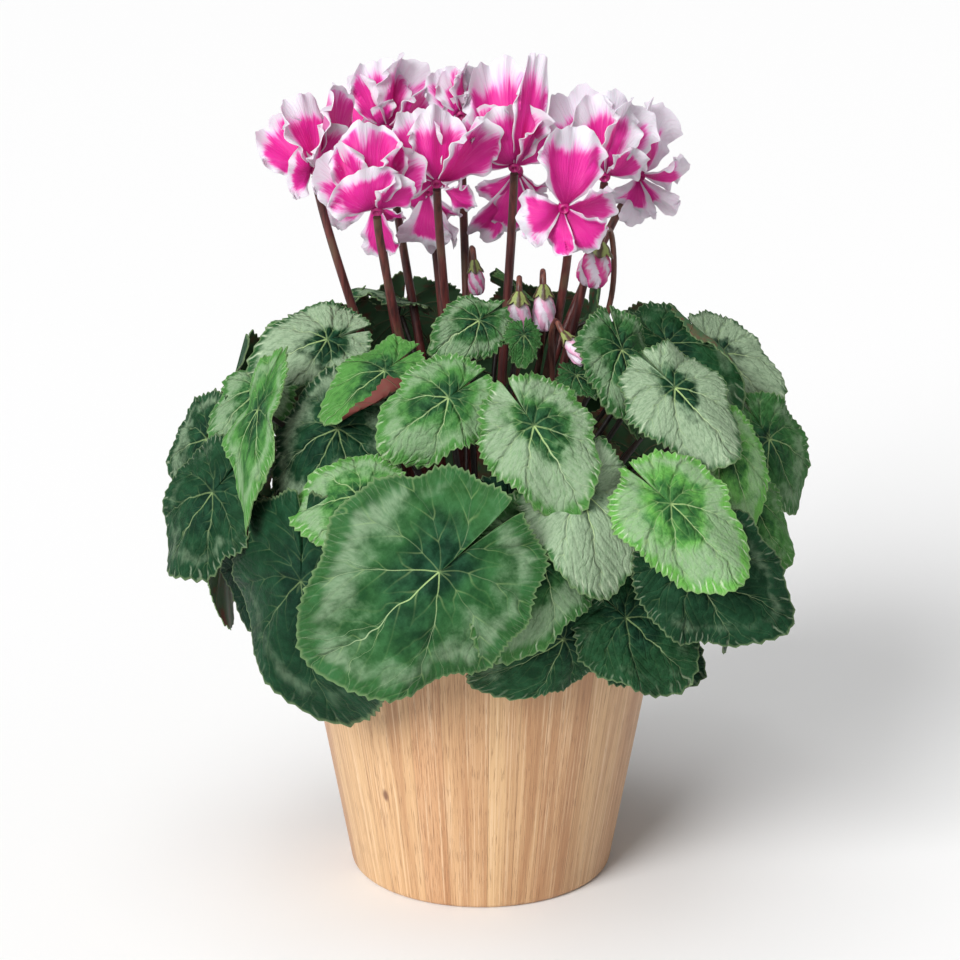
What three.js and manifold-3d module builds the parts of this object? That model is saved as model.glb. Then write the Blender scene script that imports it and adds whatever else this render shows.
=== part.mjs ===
// A potted cyclamen: a wooden pot cover with a plastic growing pot in it, potting soil, and the plant.
// Millimetres, +Z up. The origin is the centre of the pot's underside, and the plant's best side faces -Y.
// Every leaf blade, petal and stalk is a thin closed solid. Blades and blooms are placed from the outside
// in: each later one moves back until it is clear of those before it. Stalks are bowed until they pass
// between the blades.

import * as THREE from "three";
import { mergeVertices } from "three/addons/utils/BufferGeometryUtils.js";
import Module from "manifold-3d";

const wasm = await Module();
wasm.setup();

// ---------------------------------------------------------------- driving dimensions

const GAP = 0.3;                  // between two pieces that rest on each other
const SHORT_EDGE = 0.04;

const POT_HEIGHT = 140;
const POT_BASE_RADIUS = 66.5;
const POT_FLARE = 0.18;           // how much the radius grows for each mm of height
const POT_WALL = 7;
const POT_FLOOR = 8;
const POT_EDGE = 3;               // rounding of the lower edge and the rim
const POT_LIP = 1.5;              // how far the rim's rounding reaches in from both faces

const LINER_WALL = 1.6;
const LINER_TOP = 134;
const LINER_PLAY = 1.5;           // free space between the growing pot and the wood
const DRAIN_HOLES = 4;
const DRAIN_RADIUS = 5;
const DRAIN_RING = 34;            // distance of the drain holes from the axis

const SOIL_TOP = 124;
const SOIL_CROWN = 3;             // the soil's surface is a little higher in the middle
const TUBER_RADIUS = 27;
const TUBER_TOP = 136;
const TUBER_MIDDLE = 124;
const TUBER_BOTTOM = 110;

const FOLIAGE_RADIUS = 150;       // the leaves lie on a flattened dome
const FOLIAGE_HEIGHT = 84;
const FOLIAGE_MIDDLE = 206;       // height of the dome's widest ring above the surface it stands on

const LEAF_THICKNESS = 1;
const LEAF_DROOP = 0.22;          // the blade bends down to its point, arches across and waves at the margin
const LEAF_ARCH = 0.3;
const LEAF_WAVE = 0.09;
const TOOTH_OUT = 1.04;
const TOOTH_IN = 0.9;
const LEAF_TEETH = 16;            // points of the toothed margin
const LEAF_CLEARANCE = 0.5;
const PETIOLE_RADIUS = 1.5;
const STALK_RADIUS = 2;
const BUD_STALK_RADIUS = 1.4;
const BUD_STALK_STEPS = 12;
const CALYX_LENGTH = 4;
const CALYX_WIDTH = 0.55;         // of the bud's radius
const STALK_SIDES = 5;
const STALK_STEPS = 5;
const PETIOLE_SIDES = 3;

const PETAL_THICKNESS = 1;
const PETAL_CLEARANCE = 1;
const PETAL_TWIST = 0.45;         // each petal's one edge lies over the next petal, like a pinwheel
const PETAL_LAYER = 2;            // every other petal lies a little further forward
const PETAL_BREADTH = 1.12;
const PETAL_RUFFLE = 0.16;        // of half the petal's width
const PETAL_CUP = 0.25;
const BLOOM_CORE = 4.2;

const SIGHT = new THREE.Vector3(0, 0.954, -0.3);   // away from someone who looks at the plant's front
const UP = new THREE.Vector3(0, 0, 1);

// ---------------------------------------------------------------- the plant, piece by piece

// Leaves, outermost first. "at" is where the stalk meets the blade, "tip" is the blade's point, and
// "face" is the way its upper side looks, where that isn't the way the dome looks.
const LEAVES = [
  { name: "leaf_front_1", at: [24, -126, 269], tip: [45, -140, 240] },
  { name: "leaf_front_2", at: [-15, -108, 277], tip: [-42, -120, 260] },
  { name: "leaf_front_3", at: [47, -130, 239], tip: [59, -148, 204] },
  { name: "leaf_front_4", at: [-19, -146, 206], tip: [-72, -156, 159] },
  { name: "leaf_left_6", at: [-128, -66, 218], tip: [-152, -66, 188], face: [-0.55, -0.7, 0.4] },
  { name: "leaf_front_5", at: [87, -124, 231], tip: [117, -138, 205] },
  { name: "leaf_front_6", at: [29, -138, 210], tip: [16, -156, 172] },
  { name: "leaf_left_1", at: [-59, -126, 239], tip: [-91, -116, 231], face: [-0.3, -0.7, 0.7] },
  { name: "leaf_top_1", at: [-45, -80, 282], tip: [-69, -96, 268] },
  { name: "leaf_top_2", at: [65, -56, 286], tip: [75, -74, 258], face: [0.5, -0.65, 0.5], broad: 0.9 },
  { name: "leaf_top_3", at: [-1, -60, 301], tip: [-19, -74, 294] },
  { name: "leaf_top_4", at: [20, -64, 295], tip: [20, -72, 285] },
  { name: "leaf_right_1", at: [86, -74, 277], tip: [112, -90, 254], face: [0.3, -0.7, 0.6] },
  { name: "leaf_right_2", at: [119, -84, 250], tip: [134, -98, 221], face: [0.55, -0.7, 0.4] },
  { name: "leaf_left_2", at: [-74, -34, 285], tip: [-106, -42, 278], face: [-0.2, -0.75, 0.65] },
  { name: "leaf_left_3", at: [-105, -74, 261], tip: [-120, -96, 218], face: [-0.8, -0.5, 0.4], broad: 0.5 },
  { name: "leaf_left_4", at: [-108, -44, 265], tip: [-129, -54, 247], face: [-0.55, -0.7, 0.4] },
  { name: "leaf_low_1", at: [-91, -120, 190], tip: [-92, -126, 130], broad: 1.15 },
  { name: "leaf_left_8", at: [-133, -34, 235], tip: [-151, -32, 206], face: [-0.55, -0.7, 0.4] },
  { name: "leaf_left_5", at: [-73, -122, 218], tip: [-94, -120, 210], face: [-0.4, -0.8, 0.4] },
  { name: "leaf_low_2", at: [94, -122, 203], tip: [129, -122, 183] },
  { name: "leaf_right_3", at: [91, -16, 278], tip: [126, -26, 259], face: [0.2, -0.6, 0.75] },
  { name: "leaf_right_4", at: [119, 6, 267], tip: [147, 0, 244], face: [0.3, -0.7, 0.6] },
  { name: "leaf_right_5", at: [128, -64, 214], tip: [146, -70, 189], face: [0.55, -0.7, 0.4] },
  { name: "leaf_right_6", at: [142, -14, 229], tip: [161, -16, 198], face: [0.55, -0.7, 0.4] },
  { name: "leaf_low_3", at: [115, -90, 187], tip: [146, -86, 169], face: [0.55, -0.7, 0.4] },
  { name: "leaf_low_4", at: [78, -104, 181], tip: [103, -108, 159] },
  { name: "leaf_low_5", at: [70, -98, 158], tip: [99, -102, 142] },
  { name: "leaf_low_6", at: [39, -118, 162], tip: [6, -128, 141] },
  { name: "leaf_top_5", at: [42, -66, 287], tip: [54, -72, 283] },
  { name: "leaf_left_7", at: [-74, -84, 259], tip: [-91, -98, 229], face: [-0.3, -0.8, 0.5] },
  { name: "leaf_front_7", at: [9, -112, 225], tip: [-5, -124, 211] },
  { name: "leaf_left_9", at: [-103, -62, 200], tip: [-102, -68, 160], face: [-0.4, -0.8, 0.4] },
  { name: "leaf_right_7", at: [112, -2, 174], tip: [134, -4, 116], broad: 1.15 },
  { name: "leaf_left_10", at: [-112, -2, 174], tip: [-134, -4, 116], broad: 1.15 },
];

// The leaves that are hidden from the front grow from four short trunks on the back of the tuber.
const BACK_TOP_LEAVES = [
  { trunk: 0, at: [-91, 24, 277], tip: [-109, 14, 273], face: [-0.3, -0.4, 0.8] },
  { trunk: 1, at: [-38, 44, 285], tip: [-57, 58, 289] },
  { trunk: 2, at: [20, 56, 286], tip: [12, 74, 291] },
  { trunk: 3, at: [56, 44, 274], tip: [63, 54, 289] },
];
const BACK_TIERS = [
  { count: 6, climb: -18, length: 60, first: -84, spread: 168, depth: 0 },
  { count: 5, climb: 12, length: 58, first: -88, spread: 176, depth: -2 },
  { count: 4, climb: 40, length: 48, first: -76, spread: 152, depth: 0 },
];
const TRUNK_TURNS = [-62, -24, 24, 62];            // degrees from +Y, seen from above
const TRUNK_RING = 19;                             // distance of the trunks from the tuber's axis

// Blooms, nearest first. "at" is the mouth of the flower. Each petal is a tip, given from the mouth as
// right, back and up, and half the petal's width.
const BLOOMS = [
  { name: "bloom_1", at: [-49, -46, 351], mouth: [-0.1, -0.8, -0.6],
    petals: [[-23, 0, 27, 12], [-4, 9, 41, 15], [15, 5, 28, 12], [-7, -12, 22, 15], [13, -8, 15, 9]] },
  { name: "bloom_2", at: [39, -50, 353], mouth: [0, -0.97, -0.25],
    petals: [[5, 4, 37, 15], [-22, -2, -3, 11], [-11, -5, -17, 12], [17, -5, -16, 12], [24, 2, 4, 10]] },
  { name: "bloom_3", at: [-21, -42, 365], mouth: [0, -0.85, -0.5],
    petals: [[-14, 4, 32, 10], [1, 8, 36, 12], [25, -2, 28, 13], [18, -8, -6, 13], [-18, 4, 6, 10]] },
  { name: "bloom_4", at: [16, -8, 364], mouth: [0, -0.85, -0.5],
    petals: [[-21, -6, 26, 13], [-3, -6, 32, 17], [16, 0, 20, 10], [12, 12, 53, 8], [-9, 14, 48, 15]] },
  { name: "bloom_5", at: [60, 0, 358], mouth: [0, -0.9, -0.4],
    petals: [[-18, 6, 40, 14], [0, 2, 42, 16], [17, 8, 34, 13], [-27, 4, 24, 9], [17, -6, 12, 11]] },
  { name: "bloom_6", at: [-80, -5, 362], mouth: [0.4, -0.8, -0.4],
    petals: [[-24, 2, 20, 11], [-8, 8, 36, 14], [14, 8, 38, 13], [-13, -10, 3, 10], [9, -12, 22, 11]] },
  { name: "bloom_7", at: [-52, 10, 344], mouth: [0, -0.8, -0.6],
    petals: [[-26, 0, -3, 9], [-20, 4, 10, 9], [4, -3, -29, 9], [12, 6, -10, 8], [2, 10, 14, 10]] },
  { name: "bloom_8", at: [-26, 22, 346], mouth: [0, -0.8, -0.6],
    petals: [[-12, 0, -12, 10], [-3, -4, -26, 11], [8, 0, -30, 10], [13, 4, -14, 10], [2, 10, 14, 11]] },
  { name: "bloom_9", at: [18, 36, 352], mouth: [0, -0.8, -0.6],
    petals: [[-13, 0, -18, 11], [-4, -4, -27, 11], [9, 0, -22, 11], [15, 3, -9, 10], [-21, 2, -34, 7]] },
  { name: "bloom_10", at: [79, 38, 350], mouth: [0.3, -0.8, -0.4],
    petals: [[9, 6, 35, 14], [24, 2, 6, 13], [7, -2, -22, 13], [-8, 2, -17, 11], [-12, 6, 26, 12]] },
  { name: "bloom_11", at: [-10, 42, 380], mouth: [0, -0.8, -0.5],
    petals: [[-11, 2, 21, 9], [-3, 8, 23, 9], [7, 4, 23, 10], [12, 0, 14, 9], [-6, -8, 6, 9]] },
  { name: "bloom_12", at: [-47, 36, 376], mouth: [0, -0.8, -0.5],
    petals: [[-22, 4, 20, 12], [-5, 8, 34, 13], [12, 6, 33, 13], [24, 2, 19, 12], [-8, -10, 8, 11]] },
];

// Buds hang from a crook in their stalk: "at" is the top of the bud, "hang" the way it points.
const BUDS = [
  { name: "bud_1", at: [18, -39, 306], hang: [-0.02, 0, -1], length: 19, radius: 6.5 },
  { name: "bud_2", at: [30, -33, 308], hang: [0.02, 0, -1], length: 19, radius: 6 },
  { name: "bud_3", at: [41, -56, 291], hang: [0.55, -0.5, -0.7], length: 15, radius: 4.5 },
  { name: "bud_4", at: [57, -20, 326], hang: [-0.25, 0, -1], length: 19, radius: 8.5 },
  { name: "bud_5", at: [-3, 10, 310], hang: [0.1, 0, -1], length: 14, radius: 4.5 },
];

// ---------------------------------------------------------------- finishes

function finish(color, roughness) {
  return new THREE.MeshStandardMaterial({ color, roughness, metalness: 0 });
}

const wood = finish(0xd9ad7c, 0.55);
const plastic = finish(0x35322f, 0.5);
const soilFinish = finish(0x3a2a20, 0.95);
const stalkFinish = finish(0x6b3328, 0.5);
const leafGreen = finish(0x2f6b3a, 0.5);
const backGreen = finish(0x295c35, 0.5);
const petalPink = finish(0xd63a8e, 0.5);
const budPink = finish(0xe7c3cf, 0.5);

// ---------------------------------------------------------------- solids

function toSolid(geometry) {
  geometry.deleteAttribute("normal");
  geometry.deleteAttribute("uv");
  const merged = mergeVertices(geometry);
  return new wasm.Manifold(new wasm.Mesh({
    numProp: 3,
    vertProperties: new Float32Array(merged.attributes.position.array),
    triVerts: new Uint32Array(merged.index.array),
  }));
}

function toGeometry(solid) {
  const mesh = solid.getMesh();
  const geometry = new THREE.BufferGeometry();
  geometry.setAttribute("position", new THREE.BufferAttribute(mesh.vertProperties, 3));
  geometry.setIndex(new THREE.BufferAttribute(mesh.triVerts, 1));
  return geometry;
}

function boxOf(solid) {
  return new THREE.Box3().setFromArray(solid.getMesh().vertProperties);
}

function meets(solid, others) {
  const box = boxOf(solid);
  return others.some((other) => box.intersectsBox(other.box)
    && solid.intersect(other.solid).getMesh().triVerts.length > 0);
}

// Whether every edge of the triangles is shared by exactly two of them, which run along it in opposite ways.
function isClosed(index) {
  const edges = new Set();
  for (let t = 0; t < index.length; t += 3) {
    for (let k = 0; k < 3; k += 1) {
      edges.add(`${index[t + k]} ${index[t + (k + 1) % 3]}`);
    }
  }
  return edges.size === index.length && [...edges].every((edge) => edges.has(edge.split(" ").reverse().join(" ")));
}

// The triangles without the tiny edges that crossing sheets leave: each is drawn together to one point.
function withoutShortEdges(positions, triangles) {
  const corner = (k) => new THREE.Vector3().fromArray(positions, 3 * k);
  let index = triangles;
  for (let t = 0; t < index.length; t += 1) {
    const a = index[t];
    const b = index[t % 3 === 2 ? t - 2 : t + 1];
    if (corner(a).distanceTo(corner(b)) < SHORT_EDGE) {
      const merged = index.map((k) => (k === b ? a : k));
      const kept = merged.filter((_, k) => {
        const first = k - (k % 3);
        return new Set(merged.slice(first, first + 3)).size === 3;
      });
      if (isClosed(kept)) {
        index = kept;
        t = -1;
      }
    }
  }
  return index;
}

// The united solid. A space that petals or stalks shut in between them is filled: its walls form a
// shell of their own, which faces inward and so has a negative volume.
function join(solids) {
  const { vertProperties, triVerts } = solids.reduce((whole, solid) => whole.add(solid)).getMesh();
  const shellOf = Array.from({ length: vertProperties.length / 3 }, (_, k) => k);
  const find = (k) => {
    let root = k;
    while (shellOf[root] !== root) {
      root = shellOf[root];
    }
    shellOf[k] = root;
    return root;
  };
  for (let t = 0; t < triVerts.length; t += 3) {
    shellOf[find(triVerts[t])] = find(triVerts[t + 1]);
    shellOf[find(triVerts[t + 1])] = find(triVerts[t + 2]);
  }
  const corner = (k) => new THREE.Vector3().fromArray(vertProperties, 3 * k);
  const volumes = new Map();
  for (let t = 0; t < triVerts.length; t += 3) {
    const [a, b, c] = [...triVerts.slice(t, t + 3)].map(corner);
    const shell = find(triVerts[t]);
    volumes.set(shell, (volumes.get(shell) ?? 0) + a.dot(b.cross(c)));
  }
  const index = [];
  for (let t = 0; t < triVerts.length; t += 3) {
    if (volumes.get(find(triVerts[t])) > 0) {
      index.push(...triVerts.slice(t, t + 3));
    }
  }
  const geometry = new THREE.BufferGeometry();
  geometry.setAttribute("position", new THREE.BufferAttribute(vertProperties, 3));
  geometry.setIndex(withoutShortEdges(vertProperties, index));
  return toSolid(geometry);
}

// A closed sheet from points on its middle surface, the way its upper side faces at each point, its
// triangles and the loop of points round its edge.
function thicken(points, faces, triangles, edge, thickness) {
  const positions = [];
  for (const side of [0.5, -0.5]) {
    points.forEach((point, k) => {
      const moved = point.clone().addScaledVector(faces[k], side * thickness);
      positions.push(moved.x, moved.y, moved.z);
    });
  }
  const under = points.length;
  const index = [];
  for (const [a, b, c] of triangles) {
    index.push(a, b, c, under + a, under + c, under + b);
  }
  edge.forEach((a, k) => {
    const b = edge[(k + 1) % edge.length];
    index.push(a, under + a, b, b, under + a, under + b);
  });
  const geometry = new THREE.BufferGeometry();
  geometry.setAttribute("position", new THREE.Float32BufferAttribute(positions, 3));
  geometry.setIndex(index);
  return toSolid(geometry);
}

function tube(curve, radius, steps, sides) {
  const section = new THREE.Shape();
  for (let k = 0; k < sides; k += 1) {
    const turn = (2 * Math.PI * k) / sides;
    const x = radius * Math.cos(turn);
    const y = radius * Math.sin(turn);
    if (k === 0) {
      section.moveTo(x, y);
    } else {
      section.lineTo(x, y);
    }
  }
  section.closePath();
  return toSolid(new THREE.ExtrudeGeometry(section, { steps, extrudePath: curve, bevelEnabled: false }));
}

function lathe(profile, sides) {
  const points = profile.map(([radius, height]) => new THREE.Vector2(radius, height));
  const geometry = new THREE.LatheGeometry(points, sides);
  geometry.rotateX(Math.PI / 2);
  return toSolid(geometry);
}

function vector(list) {
  return new THREE.Vector3(...list);
}

// ---------------------------------------------------------------- pot, growing pot, soil, tuber

function potRadius(height) {
  return POT_BASE_RADIUS + POT_FLARE * height;
}

function makeWoodPot() {
  const top = POT_HEIGHT;
  return lathe([
    [0, 0],
    [POT_BASE_RADIUS - POT_EDGE, 0],
    [potRadius(POT_EDGE), POT_EDGE],
    [potRadius(top - POT_EDGE), top - POT_EDGE],
    [potRadius(top) - POT_LIP, top],
    [potRadius(top) - POT_WALL + POT_LIP, top],
    [potRadius(top - POT_EDGE) - POT_WALL, top - POT_EDGE],
    [potRadius(POT_FLOOR) - POT_WALL, POT_FLOOR],
    [0, POT_FLOOR],
  ], 32);
}

const linerFloor = POT_FLOOR + GAP;
const linerRadius = (height) => potRadius(height) - POT_WALL - LINER_PLAY;

function makeLiner() {
  const inside = (height) => linerRadius(height) - LINER_WALL;
  const shell = lathe([
    [0, linerFloor],
    [linerRadius(linerFloor), linerFloor],
    [linerRadius(LINER_TOP), LINER_TOP],
    [inside(LINER_TOP), LINER_TOP],
    [inside(linerFloor + LINER_WALL), linerFloor + LINER_WALL],
    [0, linerFloor + LINER_WALL],
  ], 20);
  const drill = new THREE.CylinderGeometry(DRAIN_RADIUS, DRAIN_RADIUS, 4 * LINER_WALL, 8);
  drill.rotateX(Math.PI / 2);
  let liner = shell;
  for (let k = 0; k < DRAIN_HOLES; k += 1) {
    const turn = (2 * Math.PI * (k + 0.5)) / DRAIN_HOLES;
    const cutter = drill.clone();
    cutter.translate(DRAIN_RING * Math.cos(turn), DRAIN_RING * Math.sin(turn), linerFloor);
    liner = liner.subtract(toSolid(cutter));
  }
  return liner;
}

// The tuber is a flattened round body.
function makeTuber() {
  return lathe([
    [0, TUBER_BOTTOM],
    [TUBER_RADIUS * 0.55, TUBER_BOTTOM + 1.5],
    [TUBER_RADIUS * 0.9, TUBER_MIDDLE - 7],
    [TUBER_RADIUS, TUBER_MIDDLE],
    [TUBER_RADIUS * 0.93, TUBER_TOP - 6],
    [TUBER_RADIUS * 0.7, TUBER_TOP - 1.5],
    [0, TUBER_TOP],
  ], 12);
}

function makeSoil() {
  const floor = linerFloor + LINER_WALL + GAP;
  const radius = (height) => linerRadius(height) - LINER_WALL - GAP;
  const fill = lathe([
    [0, floor],
    [radius(floor), floor],
    [radius(SOIL_TOP), SOIL_TOP],
    [radius(SOIL_TOP) * 0.6, SOIL_TOP + SOIL_CROWN],
    [0, SOIL_TOP + SOIL_CROWN],
  ], 20);
  const hole = lathe([
    [0, TUBER_BOTTOM - GAP],
    [TUBER_RADIUS * 0.55 + 1, TUBER_BOTTOM + 1.5 - GAP],
    [TUBER_RADIUS * 0.9 + 1, TUBER_MIDDLE - 7],
    [TUBER_RADIUS + 1, TUBER_MIDDLE],
    [TUBER_RADIUS + 1, TUBER_TOP],
    [0, TUBER_TOP],
  ], 16);
  return fill.subtract(hole);
}

// ---------------------------------------------------------------- leaf blades

// How far the margin lies from the stalk, for a blade of length 1, by the angle from its point. The
// blade is a rounded heart: broad shoulders and a narrow notch opposite the point.
function heartReach(angle) {
  const towardPoint = ((1 + Math.cos(angle)) / 2) ** 3;
  const notch = THREE.MathUtils.smoothstep(Math.abs(angle), Math.PI * 0.86, Math.PI);
  return (0.67 + 0.33 * towardPoint) * (1 - 0.92 * notch);
}

function domeFacing(point) {
  const below = point.z < FOLIAGE_MIDDLE;
  const height = below ? 2.4 * FOLIAGE_HEIGHT : FOLIAGE_HEIGHT;
  const dome = new THREE.Vector3(
    point.x / FOLIAGE_RADIUS ** 2,
    point.y / FOLIAGE_RADIUS ** 2,
    (point.z - FOLIAGE_MIDDLE) / height ** 2,
  ).normalize();
  const outward = new THREE.Vector3(point.x, point.y, 0).normalize();
  return dome.add(outward).normalize();
}

// The axes of a blade: along to its point, across, and out of its upper side.
function bladeAxes(leaf) {
  const at = vector(leaf.at);
  const along = vector(leaf.tip).sub(at);
  const length = along.length();
  along.normalize();
  const out = leaf.face ? vector(leaf.face) : domeFacing(at);
  out.addScaledVector(along, -out.dot(along)).normalize();
  const across = new THREE.Vector3().crossVectors(out, along);
  return { at, along, across, out, length };
}

// A point of the blade: the angle from its point, and the share of the way from stalk to margin.
function bladePoint(leaf, axes, angle, share, tooth) {
  const reach = share * heartReach(angle) * tooth;
  const u = reach * Math.cos(angle);
  const v = reach * Math.sin(angle) * (leaf.broad ?? 1);
  const rise = -LEAF_DROOP * Math.max(u, 0) ** 2 - LEAF_ARCH * v ** 2
    + LEAF_WAVE * reach ** 2 * Math.sin(5 * angle + leaf.phase);
  return axes.at.clone()
    .addScaledVector(axes.along, u * axes.length)
    .addScaledVector(axes.across, v * axes.length)
    .addScaledVector(axes.out, rise * axes.length);
}

const MID_ANGLES = [-2.6, -1.75, -0.85, 0, 0.85, 1.75, 2.6];
const MID_SHARE = 0.52;

// The stalk's point is number 0 and the notch number 1; then come the ring half way out and the margin.
function makeBlade(leaf, axes, thickness) {
  const points = [axes.at.clone(), bladePoint(leaf, axes, Math.PI, 1, 1)];
  const mid = [{ angle: -Math.PI, id: 1 }];
  for (const angle of MID_ANGLES) {
    mid.push({ angle, id: points.length });
    points.push(bladePoint(leaf, axes, angle, MID_SHARE, 1));
  }
  mid.push({ angle: Math.PI, id: 1 });
  const margin = [{ angle: -Math.PI, id: 1 }];
  for (let k = 1; k < LEAF_TEETH; k += 1) {
    const angle = -Math.PI + (2 * Math.PI * k) / LEAF_TEETH;
    margin.push({ angle, id: points.length });
    points.push(bladePoint(leaf, axes, angle, 1, k % 2 ? TOOTH_OUT : TOOTH_IN));
  }
  margin.push({ angle: Math.PI, id: 1 });
  const triangles = [];
  for (let k = 0; k + 1 < mid.length; k += 1) {
    triangles.push([0, mid[k].id, mid[k + 1].id]);
  }
  bridge(mid, margin, triangles);
  const edge = margin.slice(1).map((entry) => entry.id);
  const faces = points.map(() => axes.out);
  return thicken(points, faces, triangles, edge, thickness);
}

// The axes of a blade that is moved in, slid across and tilted.
function shift(axes, { inward, sideways, lengthways, tilt }) {
  const at = axes.at.clone()
    .addScaledVector(axes.out, -inward)
    .addScaledVector(axes.across, sideways)
    .addScaledVector(axes.along, lengthways);
  const along = axes.along.clone().applyAxisAngle(axes.across, tilt);
  const out = axes.out.clone().applyAxisAngle(axes.across, tilt);
  return { ...axes, at, along, out };
}

// Fills the band between two rings of points that start and end at the same point.
function bridge(inner, outer, triangles) {
  let i = 0;
  let j = 0;
  while (i + 1 < inner.length || j + 1 < outer.length) {
    const nextInner = inner[i + 1]?.angle ?? Infinity;
    const nextOuter = outer[j + 1]?.angle ?? Infinity;
    const corners = nextOuter <= nextInner
      ? [inner[i].id, outer[j].id, outer[(j += 1)].id]
      : [inner[i].id, outer[j].id, inner[(i += 1)].id];
    if (new Set(corners).size === 3) {
      triangles.push(corners);
    }
  }
}

// ---------------------------------------------------------------- blooms and buds

const PETAL_ROWS = [0, 0.4, 0.75, 1];
const PETAL_COLUMNS = [-1, 0, 1];

// The petal's middle line leaves the mouth, swells towards the way the mouth faces and bends back to
// the petal's tip.
function petalLine(mouth, tip, order) {
  const layer = (order % 2 ? 1 : -1) * PETAL_LAYER;
  const start = tip.clone().addScaledVector(mouth, -tip.dot(mouth)).setLength(0.6 * BLOOM_CORE);
  const belly = tip.clone().multiplyScalar(0.45).addScaledVector(mouth, 0.38 * tip.length() + layer);
  const end = tip.clone().addScaledVector(mouth, layer);
  return new THREE.QuadraticBezierCurve3(start, belly, end);
}

// Half of the petal's width, as a share of the widest, by the share of the way to its tip.
function petalWidth(share) {
  return 0.1 + 1.75 * share - 1.23 * share ** 3;
}

function makePetal(mouth, at, petal, order, thickness) {
  const tip = vector(petal);
  const halfWidth = petal[3] * PETAL_BREADTH;
  const line = petalLine(mouth, tip, order);
  const side = new THREE.Vector3().crossVectors(tip, mouth).normalize()
    .applyAxisAngle(tip.clone().normalize(), PETAL_TWIST);
  const points = [];
  const faces = [];
  for (const share of PETAL_ROWS) {
    const middle = line.getPoint(share);
    const face = new THREE.Vector3().crossVectors(side, line.getTangent(share)).normalize();
    PETAL_COLUMNS.forEach((column, k) => {
      const ruffle = PETAL_RUFFLE * halfWidth * share ** 2 * (k % 2 ? 1 : -1) * (order % 2 ? 1 : -1);
      const cup = PETAL_CUP * halfWidth * share * (1 - column ** 2);
      points.push(middle.clone().add(at)
        .addScaledVector(side, column * halfWidth * petalWidth(share))
        .addScaledVector(face, ruffle - cup));
      faces.push(face);
    });
  }
  const columns = PETAL_COLUMNS.length;
  const rows = PETAL_ROWS.length;
  const triangles = [];
  for (let row = 0; row + 1 < rows; row += 1) {
    for (let column = 0; column + 1 < columns; column += 1) {
      const a = row * columns + column;
      triangles.push([a, a + 1, a + columns + 1], [a, a + columns + 1, a + columns]);
    }
  }
  const edge = [];
  for (let column = 0; column < columns; column += 1) {
    edge.push(column);
  }
  for (let row = 1; row < rows; row += 1) {
    edge.push(row * columns + columns - 1);
  }
  for (let column = columns - 2; column >= 0; column -= 1) {
    edge.push((rows - 1) * columns + column);
  }
  for (let row = rows - 2; row > 0; row -= 1) {
    edge.push(row * columns);
  }
  return thicken(points, faces, triangles, edge, thickness);
}

function makeBloom(bloom, at, thickness) {
  const mouth = vector(bloom.mouth).normalize();
  const petals = bloom.petals.map((petal, order) => makePetal(mouth, at, petal, order, thickness));
  const core = new THREE.IcosahedronGeometry(BLOOM_CORE, 0).translate(...at);
  return join([toSolid(core), ...petals]);
}

// A bud's petals are rolled round each other, which shows as slanting ridges.
function makeBud(bud) {
  const sides = 6;
  const rings = [[0.02, 0.45], [0.2, 0.8], [0.45, 1], [0.7, 0.85], [0.92, 0.45]];
  const hang = vector(bud.hang).normalize();
  const turn = new THREE.Quaternion().setFromUnitVectors(UP, hang);
  const positions = [0, 0, 0];
  for (const [share, width] of rings) {
    for (let k = 0; k < sides; k += 1) {
      const angle = (2 * Math.PI * k) / sides + 1.1 * share;
      const radius = bud.radius * width * (k % 2 ? 1 : 0.86);
      positions.push(radius * Math.cos(angle), radius * Math.sin(angle), share * bud.length);
    }
  }
  positions.push(0, 0, bud.length);
  const last = positions.length / 3 - 1;
  const index = [];
  for (let k = 0; k < sides; k += 1) {
    const next = (k + 1) % sides;
    index.push(0, 1 + next, 1 + k);
    for (let ring = 0; ring + 1 < rings.length; ring += 1) {
      const a = 1 + ring * sides;
      const b = a + sides;
      index.push(a + k, a + next, b + next, a + k, b + next, b + k);
    }
    const top = 1 + (rings.length - 1) * sides;
    index.push(last, top + k, top + next);
  }
  const geometry = new THREE.BufferGeometry();
  geometry.setAttribute("position", new THREE.Float32BufferAttribute(positions, 3));
  geometry.setIndex(index);
  geometry.applyQuaternion(turn);
  geometry.translate(...bud.at);
  return toSolid(geometry);
}

// ---------------------------------------------------------------- putting the pieces in their places

const pot = makeWoodPot();
const liner = makeLiner();
const soil = makeSoil();
const tuber = makeTuber();

const placed = [];
function place(name, solid, material, collection) {
  const entry = { name, solid, material, box: boxOf(solid) };
  placed.push(entry);
  collection?.push(entry);
  return entry;
}

const holders = [
  { solid: pot, box: boxOf(pot) },
  { solid: liner, box: boxOf(liner) },
  { solid: soil, box: boxOf(soil) },
];

// Buds first, then the blooms from the nearest back: each moves away along the line of sight until it
// is clear of the others, so that it stays where it is seen.
const buds = [];
for (const bud of BUDS) {
  place(bud.name, makeBud(bud), budPink, buds);
}

const BLOOM_STEP = 2;
const blooms = [];
for (const bloom of BLOOMS) {
  const at = vector(bloom.at);
  while (meets(makeBloom(bloom, at, PETAL_THICKNESS + PETAL_CLEARANCE), [...blooms, ...buds])) {
    at.addScaledVector(SIGHT, BLOOM_STEP);
  }
  bloom.placedAt = at;
  place(bloom.name, makeBloom(bloom, at, PETAL_THICKNESS), petalPink, blooms);
}

// Each trunk is a short woody stub on the tuber. Its leaves' stalks and blades are grown together with it.
const TRUNK_RADIUS = 3.5;
const TRUNK_LENGTH = 8;

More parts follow.
